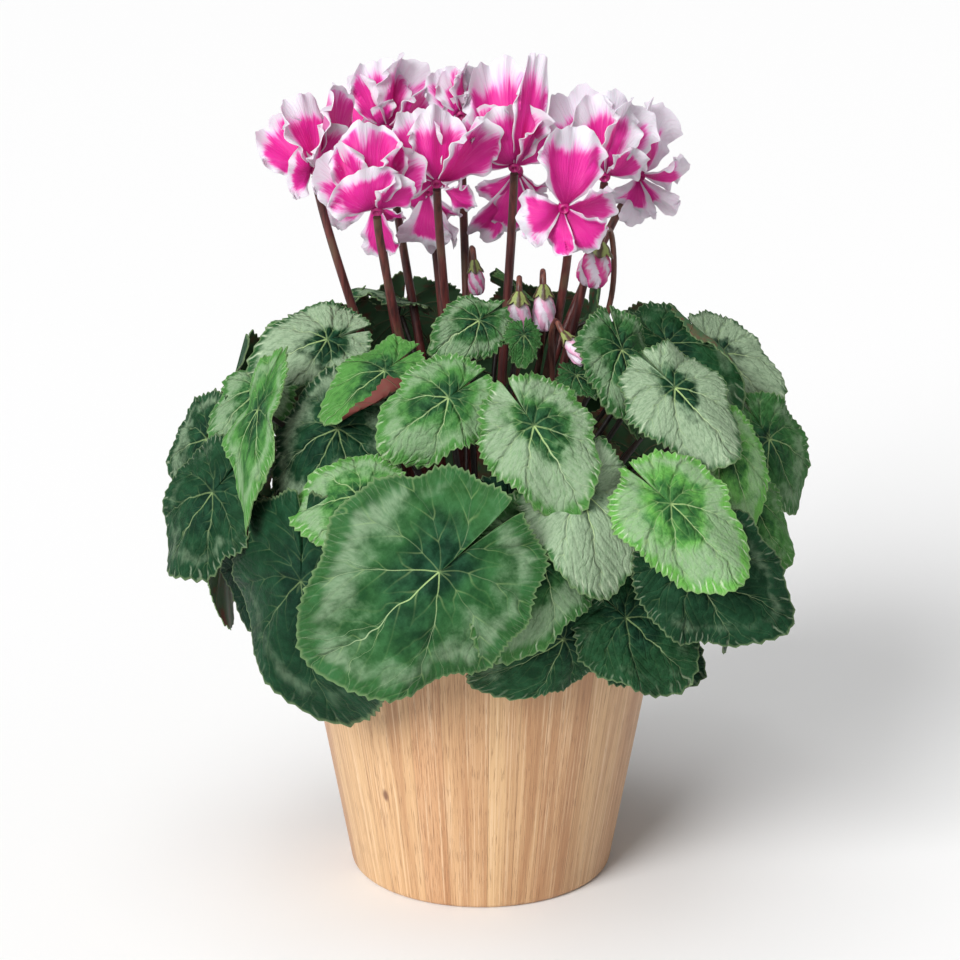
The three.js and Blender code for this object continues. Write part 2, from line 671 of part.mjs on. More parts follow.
const trunks = TRUNK_TURNS.map((degrees) => {
  const turn = THREE.MathUtils.degToRad(degrees);
  const foot = new THREE.Vector3(TRUNK_RING * Math.sin(turn), TRUNK_RING * Math.cos(turn), TUBER_TOP + GAP);
  const stub = new THREE.CylinderGeometry(TRUNK_RADIUS * 0.8, TRUNK_RADIUS, TRUNK_LENGTH, 6);
  stub.rotateX(Math.PI / 2);
  stub.translate(foot.x, foot.y, foot.z + TRUNK_LENGTH / 2);
  const solid = toSolid(stub);
  return { solid, box: boxOf(solid), heart: foot.addScaledVector(UP, TRUNK_LENGTH - 3), parts: [solid] };
});

// A root on the tuber: the way it leaves, seen from above, and its distance from the axis.
function rootPoint(toward, ring) {
  const turn = Math.atan2(toward.y, toward.x);
  return new THREE.Vector3(ring * Math.cos(turn), ring * Math.sin(turn), TUBER_TOP - 4);
}

// A tube along the first of several curves on which it is clear of the obstacles, or nothing.
function route(curves, radius, steps, sides, obstacles) {
  for (const curve of curves) {
    if (!meets(tube(curve, radius + 0.4, steps, sides), obstacles)) {
      return tube(curve, radius, steps, sides);
    }
  }
  return null;
}

// Flower stalks come up from the middle of the tuber and reach the flower from below and behind.
const STALK_APPROACHES = [
  [0, 0.5, -0.86], [0, 0.8, -0.6], [0.3, 0.7, -0.6], [-0.3, 0.7, -0.6], [0, 1, -0.1], [0, 0.2, -1],
  [0.7, 0.5, -0.5], [-0.7, 0.5, -0.5], [0, 0.9, 0.4],
];

function* stalkCurves(bloom, root) {
  for (const bow of [0, 14, -14, 28, -28]) {
    for (const approach of STALK_APPROACHES) {
      const from = vector(approach).normalize();
      const end = bloom.placedAt.clone().addScaledVector(from, 0.94 * BLOOM_CORE + GAP);
      const knee = end.clone().addScaledVector(from, 26);
      const start = root.clone().lerp(knee, 0.4);
      start.x += bow;
      yield new THREE.CubicBezierCurve3(root, start, knee, end);
    }
  }
}

const ROOT_SPREAD = 0.14;         // a flower's distance from the axis, brought down to its root
const BUD_RING = 5;
const flowerStalks = [];
for (const bloom of BLOOMS) {
  const obstacles = [...blooms, ...buds, ...trunks];
  const toward = bloom.placedAt;
  const root = rootPoint(toward, ROOT_SPREAD * Math.hypot(toward.x, toward.y));
  const solid = route(stalkCurves(bloom, root), STALK_RADIUS, STALK_STEPS, STALK_SIDES, obstacles);
  if (!solid) {
    throw new Error(`no clear way for the stalk of ${bloom.name}`);
  }
  flowerStalks.push({ solid, box: boxOf(solid) });
}

// A bud's stalk rises behind it, bends over and ends in the calyx on top of the bud.
function makeBudStalk(bud) {
  const at = vector(bud.at);
  const hang = vector(bud.hang).normalize();
  const back = new THREE.Vector3(-hang.x, 0.6 - hang.y, 0).normalize();
  const end = at.clone().addScaledVector(hang, -GAP - 0.2);
  const over = end.clone().addScaledVector(hang, -6);
  const top = over.clone().addScaledVector(back, bud.radius * 0.6 + 1).addScaledVector(UP, 3);
  const behind = top.clone().addScaledVector(back, bud.radius * 0.6 + 2).addScaledVector(UP, -6);
  const root = rootPoint(at, BUD_RING);
  const inCalyx = end.clone().addScaledVector(hang, -0.6 * CALYX_LENGTH);
  const knee = behind.clone().addScaledVector(UP, -30);
  const rise = root.clone().lerp(knee, 0.5);
  const curve = new THREE.CatmullRomCurve3([root, rise, knee, behind, top, over, inCalyx]);
  const calyx = new THREE.CylinderGeometry(0.5 * BUD_STALK_RADIUS, bud.radius * CALYX_WIDTH, CALYX_LENGTH, 8);
  calyx.rotateX(Math.PI / 2);
  calyx.applyQuaternion(new THREE.Quaternion().setFromUnitVectors(UP, hang.clone().negate()));
  calyx.translate(...end.clone().addScaledVector(hang, -CALYX_LENGTH / 2));
  return join([tube(curve, BUD_STALK_RADIUS, BUD_STALK_STEPS, PETIOLE_SIDES), toSolid(calyx)]);
}

for (const bud of BUDS) {
  const solid = makeBudStalk(bud);
  flowerStalks.push({ solid, box: boxOf(solid) });
}

// ---------------------------------------------------------------- leaves

let seed = 20;
function random() {
  seed = (seed * 1103515245 + 12345) % 2147483648;
  return seed / 2147483648 - 0.5;
}

function backLeaves() {
  const leaves = [...BACK_TOP_LEAVES];
  for (const tier of BACK_TIERS) {
    for (let k = 0; k < tier.count; k += 1) {
      const turn = THREE.MathUtils.degToRad(tier.first + tier.spread * (k + 0.5) / tier.count + 8 * random());
      const climb = THREE.MathUtils.degToRad(tier.climb + 8 * random());
      const outward = new THREE.Vector3(Math.sin(turn), Math.cos(turn), 0);
      const at = outward.clone().multiplyScalar((FOLIAGE_RADIUS + tier.depth - 8) * Math.cos(climb));
      at.z = FOLIAGE_MIDDLE + FOLIAGE_HEIGHT * Math.sin(climb);
      const down = outward.clone().multiplyScalar(Math.max(0.28, Math.sin(climb))).addScaledVector(UP, -0.8);
      const sideways = new THREE.Vector3(outward.y, -outward.x, 0);
      down.addScaledVector(sideways, 0.7 * random()).normalize();
      const tip = at.clone().addScaledVector(down, tier.length * (1 + 0.2 * random()));
      const degrees = THREE.MathUtils.radToDeg(turn);
      const nearest = [...TRUNK_TURNS].sort((a, b) => Math.abs(a - degrees) - Math.abs(b - degrees))[0];
      leaves.push({ trunk: TRUNK_TURNS.indexOf(nearest), at: at.toArray(), tip: tip.toArray() });
    }
  }
  return leaves;
}

// Leaf stalks leave the tuber outside the flower stalks and reach the blade from beneath. "gap" is left
// between the stalk's end and the blade.
function* petioleCurves(axes, root, gap) {
  const { at, across, out } = axes;
  const end = at.clone().addScaledVector(out, -0.5 * LEAF_THICKNESS - gap);
  const outward = new THREE.Vector3(at.x, at.y, 0).normalize();
  for (const sway of [0, 12, -12, 26, -26, 44, -44]) {
    for (const reach of [34, 20, 52, 12]) {
      for (const lift of [30, 52, 12]) {
        const rise = root.clone().addScaledVector(UP, lift).addScaledVector(outward, 10);
        const knee = end.clone().addScaledVector(out, -reach).addScaledVector(across, sway);
        yield new THREE.CubicBezierCurve3(root, rise, knee, end);
      }
    }
  }
}

// Moves a blade out from the flower stalks if it meets them, then in under the blades before it, with
// small tilts and slides, until the blade is clear and its own stalk has a clear way to its root.
const LEAF_STEP = 2;
const DEEPEST = 44;
const TILTS = [0, -0.12, 0.12, -0.26, 0.26];
const SLIDES = [[0, 0], [7, 0], [-7, 0], [0, 7], [0, -7], [16, 0], [-16, 0], [0, 16], [0, -16]];
const PETIOLE_STEPS = 4;

// Every move that is tried, the smallest first.
const MOVES = [];
for (let inward = 0; inward <= DEEPEST; inward += LEAF_STEP) {
  for (const [sideways, lengthways] of SLIDES) {
    for (const tilt of TILTS) {
      const effort = inward + 1.3 * Math.abs(sideways + lengthways) + 20 * Math.abs(tilt);
      MOVES.push({ inward, sideways, lengthways, tilt, effort });
    }
  }
}
MOVES.sort((a, b) => a.effort - b.effort);

function settle(leaf, rootOf, gap, fellows) {
  const axes = bladeAxes(leaf);
  const outward = new THREE.Vector3(axes.at.x, axes.at.y, 0).normalize();
  const wide = LEAF_THICKNESS + 2 * LEAF_CLEARANCE;
  const fixed = [...buds, ...blooms, ...holders];
  while (meets(makeBlade(leaf, axes, wide), [...flowerStalks, ...fixed])) {
    axes.at.addScaledVector(outward, LEAF_STEP);
  }
  for (const move of MOVES) {
    const moved = shift(axes, move);
    if (meets(makeBlade(leaf, moved, wide), [...blades, ...petioles, ...flowerStalks, ...fixed])) {
      continue;
    }
    const solid = makeBlade(leaf, moved, LEAF_THICKNESS);
    const own = gap > 0 ? [{ solid, box: boxOf(solid) }] : [];
    const curves = petioleCurves(moved, rootOf(moved.at), gap);
    const obstacles = [...own, ...blades, ...fixed, ...fellows];
    const petiole = route(curves, PETIOLE_RADIUS, PETIOLE_STEPS, PETIOLE_SIDES, obstacles);
    if (petiole) {
      return { axes: moved, solid, box: boxOf(solid), petiole };
    }
  }
  throw new Error(`no clear place for ${leaf.name}`);
}

// The lowest leaves' stalks leave the tuber furthest out.
function frontRoot(at) {
  const ring = THREE.MathUtils.clamp(16 - 0.07 * (at.z - FOLIAGE_MIDDLE), 11, 20);
  return rootPoint(new THREE.Vector3(at.x, Math.min(at.y, 0) - 8, 0), ring);
}

const blades = [];
const petioles = [];
const frontLeaves = LEAVES.map((leaf, k) => ({ ...leaf, phase: 1.7 * k }));
for (const leaf of frontLeaves) {
  Object.assign(leaf, settle(leaf, frontRoot, 0.5, []));
  blades.push(leaf);
  petioles.push({ solid: leaf.petiole, box: boxOf(leaf.petiole) });
}
const crown = join([tuber, ...flowerStalks.map((stalk) => stalk.solid), ...petioles.map((stalk) => stalk.solid)]);
const crownEntry = place("tuber_and_stalks", crown, stalkFinish);

place("wood_pot", pot, wood);
place("grow_pot", liner, plastic);
place("soil", soil, soilFinish);
for (const leaf of frontLeaves) {
  place(leaf.name, leaf.solid, leafGreen);
}

const rearLeaves = backLeaves().map((leaf, k) => ({ ...leaf, phase: 2.3 * k, name: `back leaf ${k + 1}` }));
for (const leaf of rearLeaves) {
  const trunk = trunks[leaf.trunk];
  const rootOf = (at) => at.clone().sub(trunk.heart).setZ(0).setLength(TRUNK_RADIUS * 0.4).add(trunk.heart);
  const strangers = petioles.filter((petiole) => petiole.trunk && petiole.trunk !== trunk);
  const fellows = [crownEntry, ...trunks.filter((other) => other !== trunk), ...strangers];
  Object.assign(leaf, settle(leaf, rootOf, -0.2, fellows));
  blades.push(leaf);
  petioles.push({ solid: leaf.petiole, box: boxOf(leaf.petiole), trunk });
  trunk.parts.push(leaf.petiole, leaf.solid);
}
trunks.forEach((trunk, k) => place(`leaves_back_${k + 1}`, join(trunk.parts), backGreen));

const plant = new THREE.Group();
for (const { name, solid, material } of placed) {
  const mesh = new THREE.Mesh(toGeometry(solid), material);
  mesh.name = name;
  plant.add(mesh);
}

export default plant;
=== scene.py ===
"""A potted cyclamen: toothed leaves with silver bands, ruffled flowers on tall stalks, buds, and a
growing pot inside a wooden pot cover. Sizes in the tables are millimetres, and meshes are metres."""

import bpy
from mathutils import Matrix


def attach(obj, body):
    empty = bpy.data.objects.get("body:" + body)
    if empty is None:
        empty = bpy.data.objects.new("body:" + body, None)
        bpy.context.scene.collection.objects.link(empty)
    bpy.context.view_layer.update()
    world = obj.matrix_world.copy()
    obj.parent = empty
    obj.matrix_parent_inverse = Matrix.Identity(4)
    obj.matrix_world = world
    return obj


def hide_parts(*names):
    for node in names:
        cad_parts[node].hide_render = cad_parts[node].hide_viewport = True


bl_info = {
    "name": "Potted cyclamen",
    "version": (1, 0, 0),
    "blender": (4, 5, 0),
    "location": "3D View > Sidebar > Cyclamen",
    "description": "Leaves, flowers, buds, stalks, pot cover and stage of a potted cyclamen",
    "category": "Object",
}

import copy
import math

import bpy
import numpy as np
from bpy.props import FloatProperty, FloatVectorProperty, IntProperty, PointerProperty
from mathutils import Vector, kdtree

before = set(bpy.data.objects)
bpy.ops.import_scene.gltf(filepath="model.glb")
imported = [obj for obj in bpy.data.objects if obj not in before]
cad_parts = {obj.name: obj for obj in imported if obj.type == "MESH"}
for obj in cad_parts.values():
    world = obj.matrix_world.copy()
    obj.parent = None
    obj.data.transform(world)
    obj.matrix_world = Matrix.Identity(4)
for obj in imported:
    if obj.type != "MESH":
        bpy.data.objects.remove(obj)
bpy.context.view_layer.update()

MM = 0.001
FULL_TURN = 2 * math.pi
UP = np.array([0.0, 0.0, 1.0])
# The way along which the solid flowers were moved back until they cleared each other.
SIGHT = np.array([0.0, 0.954, -0.3])
# How close a computed point lies to a corner of a solid that it stands for.
CORNER_MATCH = 0.05
RING_MATCH = 0.04

# ---------------------------------------------------------------- the plant, piece by piece

# Name, stalk point, point of the blade, facing (None follows the mound), breadth, and the look: how much
# silver the blade has, how bright its green is, and its size beside its solid's. How bright the green is
# stands partly for the leaf's own tone and partly for painted shade: the low and inner leaves, which lie in
# shade, get a darker green.
LEAVES = [
    ("leaf_front_1", (24, -126, 269), (45, -140, 240), None, 1, (0.66, 0.5, 1)),
    ("leaf_front_2", (-15, -108, 277), (-42, -120, 260), None, 1, (0.45, 0.5, 1)),
    ("leaf_front_3", (47, -130, 239), (59, -148, 204), None, 1, (0.86, 0.3, 1.03)),
    ("leaf_front_4", (-19, -146, 206), (-72, -156, 159), None, 1, (0.42, 0.27, 1)),
    ("leaf_left_6", (-128, -66, 218), (-152, -66, 188), (-0.55, -0.7, 0.4), 1, (0.26, 0.08, 1.12)),
    ("leaf_front_5", (87, -124, 231), (117, -138, 205), None, 1, (0.56, 1.0, 1)),
    ("leaf_front_6", (29, -138, 210), (16, -156, 172), None, 1, (0.45, 0.35, 1.06)),
    ("leaf_left_1", (-59, -126, 239), (-91, -116, 231), (-0.3, -0.7, 0.7), 1, (0.5, 0.6, 1)),
    ("leaf_top_1", (-45, -80, 282), (-69, -96, 268), None, 1, (0.15, 0.55, 1)),
    ("leaf_top_2", (65, -56, 286), (75, -74, 258), (0.5, -0.65, 0.5), 0.9, (0.45, 0.3, 1)),
    ("leaf_top_3", (-1, -60, 301), (-19, -74, 294), None, 1, (0.5, 0.35, 1)),
    ("leaf_top_4", (20, -64, 295), (20, -72, 285), None, 1, (0.1, 0.35, 1)),
    ("leaf_right_1", (86, -74, 277), (112, -90, 254), (0.3, -0.7, 0.6), 1, (0.8, 0.25, 1)),
    ("leaf_right_2", (119, -84, 250), (134, -98, 221), (0.55, -0.7, 0.4), 1, (0.45, 0.7, 1)),
    ("leaf_left_2", (-74, -34, 285), (-106, -42, 278), (-0.2, -0.75, 0.65), 1, (0.75, 0.2, 1)),
    ("leaf_left_3", (-105, -74, 261), (-120, -96, 218), (-0.8, -0.5, 0.4), 0.5, (0.45, 0.53, 0.98)),
    ("leaf_left_4", (-108, -44, 265), (-129, -54, 247), (-0.55, -0.7, 0.4), 1, (0.5, 0.4, 1)),
    ("leaf_low_1", (-91, -120, 190), (-92, -126, 130), None, 1.15, (0.16, 0.06, 1.08)),
    ("leaf_left_8", (-133, -34, 235), (-151, -32, 206), (-0.55, -0.7, 0.4), 1, (0.42, 0.1, 1.08)),
    ("leaf_left_5", (-73, -122, 218), (-94, -120, 210), (-0.4, -0.8, 0.4), 1, (0.35, 0.4, 1)),
    ("leaf_low_2", (94, -122, 203), (129, -122, 183), None, 1, (0.25, 0.07, 1.18)),
    ("leaf_right_3", (91, -16, 278), (126, -26, 259), (0.2, -0.6, 0.75), 1, (0.3, 0.15, 1)),
    ("leaf_right_4", (119, 6, 267), (147, 0, 244), (0.3, -0.7, 0.6), 1, (0.95, 0.15, 1)),
    ("leaf_right_5", (128, -64, 214), (146, -70, 189), (0.55, -0.7, 0.4), 1, (0.3, 0.45, 1.05)),
    ("leaf_right_6", (142, -14, 229), (161, -16, 198), (0.55, -0.7, 0.4), 1, (0.35, 0.32, 1)),
    ("leaf_low_3", (115, -90, 187), (146, -86, 169), (0.55, -0.7, 0.4), 1, (0.2, 0.03, 1.05)),
    ("leaf_low_4", (78, -104, 181), (103, -108, 159), None, 1, (0.2, 0.12, 1.2)),
    ("leaf_low_5", (70, -98, 158), (99, -102, 142), None, 1, (0.12, 0.03, 1.08)),
    ("leaf_low_6", (39, -118, 162), (6, -128, 141), None, 1, (0.25, 0.1, 1)),
    ("leaf_top_5", (42, -66, 287), (54, -72, 283), None, 1, (0.2, 0.25, 1)),
    ("leaf_left_7", (-74, -84, 259), (-91, -98, 229), (-0.3, -0.8, 0.5), 1, (0.45, 0.08, 1.24)),
    ("leaf_front_7", (9, -112, 225), (-5, -124, 211), None, 1, (0.05, 0.0, 1.1)),
    ("leaf_left_9", (-103, -62, 200), (-102, -68, 160), (-0.4, -0.8, 0.4), 1, (0.08, 0.0, 1.1)),
    ("leaf_right_7", (112, -2, 174), (134, -4, 116), None, 1.15, (0.1, 0.02, 0.8)),
    ("leaf_left_10", (-112, -2, 174), (-134, -4, 116), None, 1.15, (0.1, 0.02, 0.82)),
]

# Leaves with a margin that rolls back over the blade: the way to that margin, as an angle from the
# point of the blade, and how far out the roll starts, in blade lengths.
ROLLED = {"leaf_top_1": (1.35, 0.36), "leaf_left_3": (1.5, 0.3), "leaf_right_3": (1.3, 0.42)}
ROLL_TURN = 2.5
ROLL_RADIUS = 0.07

# The leaves behind: first four placed ones (trunk, stalk point, point, facing), then three tiers.
BACK_TOP_LEAVES = [
    (0, (-91, 24, 277), (-109, 14, 273), (-0.3, -0.4, 0.8)),
    (1, (-38, 44, 285), (-57, 58, 289), None),
    (2, (20, 56, 286), (12, 74, 291), None),
    (3, (56, 44, 274), (63, 54, 289), None),
]
# Count, climb, length, first turn, spread and depth.
BACK_TIERS = [
    (6, -18, 60, -84, 168, 0),
    (5, 12, 58, -88, 176, -2),
    (4, 40, 48, -76, 152, 0),
]
TRUNK_TURNS = (-62, -24, 24, 62)
TRUNK_RING = 19
TRUNK_LENGTH = 8
TRUNK_RADIUS = 3.5

FOLIAGE_RADIUS = 150
FOLIAGE_HEIGHT = 84
FOLIAGE_MIDDLE = 206

LEAF_DROOP = 0.22
LEAF_ARCH = 0.3
LEAF_WAVE = 0.09
SOLID_TEETH = 16
SOLID_TOOTH = (0.9, 1.04)
SOLID_LEAF_THICKNESS = 1
# The notch at the stalk: the angle where it begins, in the solid and in the finished blade, and its depth.
NOTCH_FROM = 0.86 * math.pi
FINE_NOTCH_FROM = 0.975 * math.pi
NOTCH_DEPTH = 0.92
# The angle between two main veins, and its growth toward the margin, where the veins bend.
VEIN_STEP = 0.85
VEIN_BEND = 0.5
LEAF_FINISHES = ("leaf_upper_side", "leaf_underside")

# Name, mouth, the way it faces, the petals (tip and half width), and how pale the flower is.
BLOOMS = [
    ("bloom_1", (-49, -46, 351), (-0.1, -0.8, -0.6),
     ((-23, 0, 27, 12), (-4, 9, 41, 15), (15, 5, 28, 12), (-7, -12, 22, 15), (13, -8, 15, 9)), 0.0),
    ("bloom_2", (39, -50, 353), (0, -0.97, -0.25),
     ((5, 4, 37, 15), (-22, -2, -3, 11), (-11, -5, -17, 12), (17, -5, -16, 12), (24, 2, 4, 10)), 0.0),
    ("bloom_3", (-21, -42, 365), (0, -0.85, -0.5),
     ((-14, 4, 32, 10), (1, 8, 36, 12), (25, -2, 28, 13), (18, -8, -6, 13), (-18, 4, 6, 10)), 0.0),
    ("bloom_4", (16, -8, 364), (0, -0.85, -0.5),
     ((-21, -6, 26, 13), (-3, -6, 32, 17), (16, 0, 20, 10), (12, 12, 53, 8), (-9, 14, 48, 15)), 0.1),
    ("bloom_5", (60, 0, 358), (0, -0.9, -0.4),
     ((-18, 6, 40, 14), (0, 2, 42, 16), (17, 8, 34, 13), (-27, 4, 24, 9), (17, -6, 12, 11)), 0.25),
    ("bloom_6", (-80, -5, 362), (0.4, -0.8, -0.4),
     ((-24, 2, 20, 11), (-8, 8, 36, 14), (14, 8, 38, 13), (-13, -10, 3, 10), (9, -12, 22, 11)), 0.05),
    ("bloom_7", (-52, 10, 344), (0, -0.8, -0.6),
     ((-26, 0, -3, 9), (-20, 4, 10, 9), (4, -3, -29, 9), (12, 6, -10, 8), (2, 10, 14, 10)), 0.15),
    ("bloom_8", (-26, 22, 346), (0, -0.8, -0.6),
     ((-12, 0, -12, 10), (-3, -4, -26, 11), (8, 0, -30, 10), (13, 4, -14, 10), (2, 10, 14, 11)), 0.55),
    ("bloom_9", (18, 36, 352), (0, -0.8, -0.6),
     ((-13, 0, -18, 11), (-4, -4, -27, 11), (9, 0, -22, 11), (15, 3, -9, 10), (-21, 2, -34, 7)), 0.3),
    ("bloom_10", (79, 38, 350), (0.3, -0.8, -0.4),
     ((9, 6, 35, 14), (24, 2, 6, 13), (7, -2, -22, 13), (-8, 2, -17, 11), (-12, 6, 26, 12)), 0.7),
    ("bloom_11", (-10, 42, 380), (0, -0.8, -0.5),
     ((-11, 2, 21, 9), (-3, 8, 23, 9), (7, 4, 23, 10), (12, 0, 14, 9), (-6, -8, 6, 9)), 0.35),
    ("bloom_12", (-47, 36, 376), (0, -0.8, -0.5),
     ((-22, 4, 20, 12), (-5, 8, 34, 13), (12, 6, 33, 13), (24, 2, 19, 12), (-8, -10, 8, 11)), 0.25),
]
PETAL_TWIST = 0.45
PETAL_LAYER = 2
PETAL_BREADTH = 1.12
PETAL_RUFFLE = 0.16
PETAL_CUP = 0.25
BLOOM_CORE = 4.2
# Radius and height along the throat, from its back to the hollow of its mouth.
THROAT = [(0, -4.2), (1.7, -3.9), (2.8, -2.7), (3.1, -1.0), (2.9, 0.4), (2.5, 1.3), (1.9, 1.7),
          (1.3, 1.3), (0.8, 0.2), (0, -0.4)]

# Name, top of the bud, the way it hangs, length, radius, and how pink it is.
BUDS = [
    ("bud_1", (18, -39, 306), (-0.02, 0, -1), 19, 6.5, 0.35),
    ("bud_2", (30, -33, 308), (0.02, 0, -1), 19, 6, 0.3),
    ("bud_3", (41, -56, 291), (0.55, -0.5, -0.7), 15, 4.5, 0.25),
    ("bud_4", (57, -20, 326), (-0.25, 0, -1), 19, 8.5, 0.9),
    ("bud_5", (-3, 10, 310), (0.1, 0, -1), 14, 4.5, 0.7),
]
BUD_STALK_RADIUS = 1.4
BUD_RING = 5
# How wide a bud is along its length, from the calyx to the tip.
BUD_SHARES = [0, 0.02, 0.1, 0.2, 0.45, 0.7, 0.85, 0.94, 1]
BUD_WIDTHS = [0.3, 0.45, 0.66, 0.8, 0.97, 0.92, 0.78, 0.6, 0.25]
CALYX_LENGTH = 4
CALYX_WIDTH = 0.55
CALYX_WALL = 0.45

TUBER_TOP = 136
TUBER_RADIUS = 27
TUBER_MIDDLE = 124
TUBER_BOTTOM = 110
STALK_RADIUS = 2
PETIOLE_RADIUS = 1.5

POT_HEIGHT = 140
POT_BASE_RADIUS = 66.5
POT_FLARE = 0.18
POT_WALL = 7
POT_FLOOR = 8
POT_EDGE = 3
POT_LIP = 1.5
LINER_WALL = 1.6
LINER_TOP = 134
LINER_PLAY = 1.5
LINER_FLOOR = POT_FLOOR + 0.3
SOIL_TOP = 124
SOIL_CROWN = 3
# The seams between staves that show at the front, in degrees from the front.
FRONT_SEAMS = [-41.0, -24.0, -13.0, 2.7, 13.0, 22.5, 38.0]

# First seeds of the random draws.
LEAF_SEED = 100
BACK_LEAF_SEED = 300
BACK_LOOK_SEED = 7
PETAL_SEED = 1000
STAVE_SEED = 3
CRUMB_SEED = 5

# The camera's place in metres, its tilt from straight down, its lens, and its shift by one pixel.
CAMERA_PLACE = (0, -1.4306, 0.6546)
CAMERA_TILT = 72.5
LENS = 112.5
SENSOR = 36
SHIFT = -1 / 960
# The lights: place, and how wide each seems from the plant, in degrees.
KEY_LIGHT = ((-1.5, -2.1, 1.5), 32)
TOP_LIGHT = ((-0.3, -0.3, 2.4), 50)


# ---------------------------------------------------------------- vectors and the solids' points

def vec(values):
    return np.array(values, float)


def unit(vector):
    return vector / np.linalg.norm(vector)


def turned(vector, axis, angle):
    """The vector turned about a unit axis."""
    return (vector * math.cos(angle) + np.cross(axis, vector) * math.sin(angle)
            + axis * np.dot(axis, vector) * (1 - math.cos(angle)))


def smoothstep(values, low, high):
    share = np.clip((values - low) / (high - low), 0, 1)
    return share * share * (3 - 2 * share)


def corner_tree(node):
    """The corners of a CAD node, in millimetres, for finding what lies where."""
    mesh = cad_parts[node].data
    tree = kdtree.KDTree(len(mesh.vertices))
    for corner in mesh.vertices:
        tree.insert(corner.co / MM, corner.index)
    tree.balance()
    return tree


def is_corner(tree, point):
    return tree.find(Vector(point))[2] < CORNER_MATCH


# ---------------------------------------------------------------- leaf shape

def notched(angle, start):
    """How much of the reach is left beside the notch that begins at the start angle."""
    return 1 - NOTCH_DEPTH * smoothstep(np.abs(angle), start, math.pi)


def heart_reach(angle):
    toward_point = ((1 + np.cos(angle)) / 2) ** 3
    return (0.67 + 0.33 * toward_point) * notched(angle, NOTCH_FROM)


def dome_facing(point):
    height = 2.4 * FOLIAGE_HEIGHT if point[2] < FOLIAGE_MIDDLE else FOLIAGE_HEIGHT
    dome = unit(np.array([point[0] / FOLIAGE_RADIUS ** 2, point[1] / FOLIAGE_RADIUS ** 2,
                          (point[2] - FOLIAGE_MIDDLE) / height ** 2]))
    return unit(dome + unit(np.array([point[0], point[1], 0.0])))


class Blade:
    """Where a leaf blade lies: its stalk point, and the directions to its point, across and outward."""

    def __init__(self, at, tip, face, breadth, phase):
        self.at = vec(at)
        along = vec(tip) - self.at
        self.length = float(np.linalg.norm(along))
        self.along = along / self.length
        out = vec(face) if face is not None else dome_facing(self.at)
        self.out = unit(out - self.along * np.dot(out, self.along))
        self.across = np.cross(self.out, self.along)
        self.breadth = breadth
        self.phase = phase

    def moved(self, inward, sideways, lengthways, tilt):
        blade = copy.copy(self)
        blade.at = self.at - self.out * inward + self.across * sideways + self.along * lengthways
        blade.along = turned(self.along, self.across, tilt)
        blade.out = turned(self.out, self.across, tilt)
        return blade

    def rise(self, reach, angle):
        u = reach * np.cos(angle)
        v = reach * np.sin(angle) * self.breadth
        return (-LEAF_DROOP * np.maximum(u, 0) ** 2 - LEAF_ARCH * v ** 2
                + LEAF_WAVE * reach ** 2 * np.sin(5 * angle + self.phase))

    def points(self, reach, angle, lift=0.0):
        """Points at a reach and angle in blade lengths; lift is in millimetres."""
        u = reach * np.cos(angle)
        v = reach * np.sin(angle) * self.breadth
        height = self.rise(reach, angle) * self.length + lift
        return (self.at + np.multiply.outer(u * self.length, self.along)
                + np.multiply.outer(v * self.length, self.across) + np.multiply.outer(height, self.out))

    def solid_margin(self):
        index = np.arange(1, SOLID_TEETH)
        angle = -math.pi + FULL_TURN * index / SOLID_TEETH
        tooth = np.where(index % 2 == 1, SOLID_TOOTH[1], SOLID_TOOTH[0])
        return self.points(heart_reach(angle) * tooth, angle, SOLID_LEAF_THICKNESS / 2)


SLIDES = ((0, 0), (7, 0), (-7, 0), (0, 7), (0, -7), (16, 0), (-16, 0), (0, 16), (0, -16))
MOVES = sorted(
    ((inward, sideways, lengthways, tilt)
     for inward in range(0, 45, 2)
     for sideways, lengthways in SLIDES
     for tilt in (0, -0.12, 0.12, -0.26, 0.26)),
    key=lambda move: move[0] + 1.3 * abs(move[1] + move[2]) + 20 * abs(move[3]))


def settled(blade, tree, name):
    """The blade at the place that its solid has: the one whose margin has the solid's own corners."""
    outward = unit(np.array([blade.at[0], blade.at[1], 0.0]))
    start = blade.at.copy()
    for push in range(16):
        blade.at = start + 2 * push * outward
        for move in MOVES:
            candidate = blade.moved(*move)
            margin = candidate.solid_margin()
            if is_corner(tree, margin[4]) and is_corner(tree, margin[10]) and is_corner(tree, margin[13]):
                return candidate
    raise RuntimeError(f"{name} isn't where its solid is")


# ---------------------------------------------------------------- curves

def bezier(points, share):
    share = np.asarray(share, float)[:, None]
    if len(points) == 3:
        a, b, c = points
        return (1 - share) ** 2 * a + 2 * (1 - share) * share * b + share ** 2 * c
    a, b, c, d = points
    return ((1 - share) ** 3 * a + 3 * (1 - share) ** 2 * share * b
            + 3 * (1 - share) * share ** 2 * c + share ** 3 * d)


def evenly(path, count):
    """Points at equal distances along a finely sampled path."""
    lengths = np.concatenate([[0], np.cumsum(np.linalg.norm(np.diff(path, axis=0), axis=1))])
    at = np.linspace(0, lengths[-1], count)
    return np.stack([np.interp(at, lengths, path[:, k]) for k in range(3)], axis=1)


def rings_found(tree, path, steps, radius):
    """How many of the rings of a solid tube along this path are among the solid's corners."""
    found = 0
    for centre in evenly(path, steps + 1)[1:]:
        near = tree.find_range(Vector(centre), radius + RING_MATCH)
        found += sum(abs(distance - radius) < RING_MATCH for _, _, distance in near) >= 3
    return found


def best_route(tree, curves, steps, radius):
    """The path, of those that a stalk may take, that its solid follows."""
    share = np.linspace(0, 1, 60)
    paths = [bezier(curve, share) for curve in curves]
    return max(paths, key=lambda path: rings_found(tree, path, steps, radius))


def root_point(toward, ring):
    turn = math.atan2(toward[1], toward[0])
    return np.array([ring * math.cos(turn), ring * math.sin(turn), TUBER_TOP - 4.0])


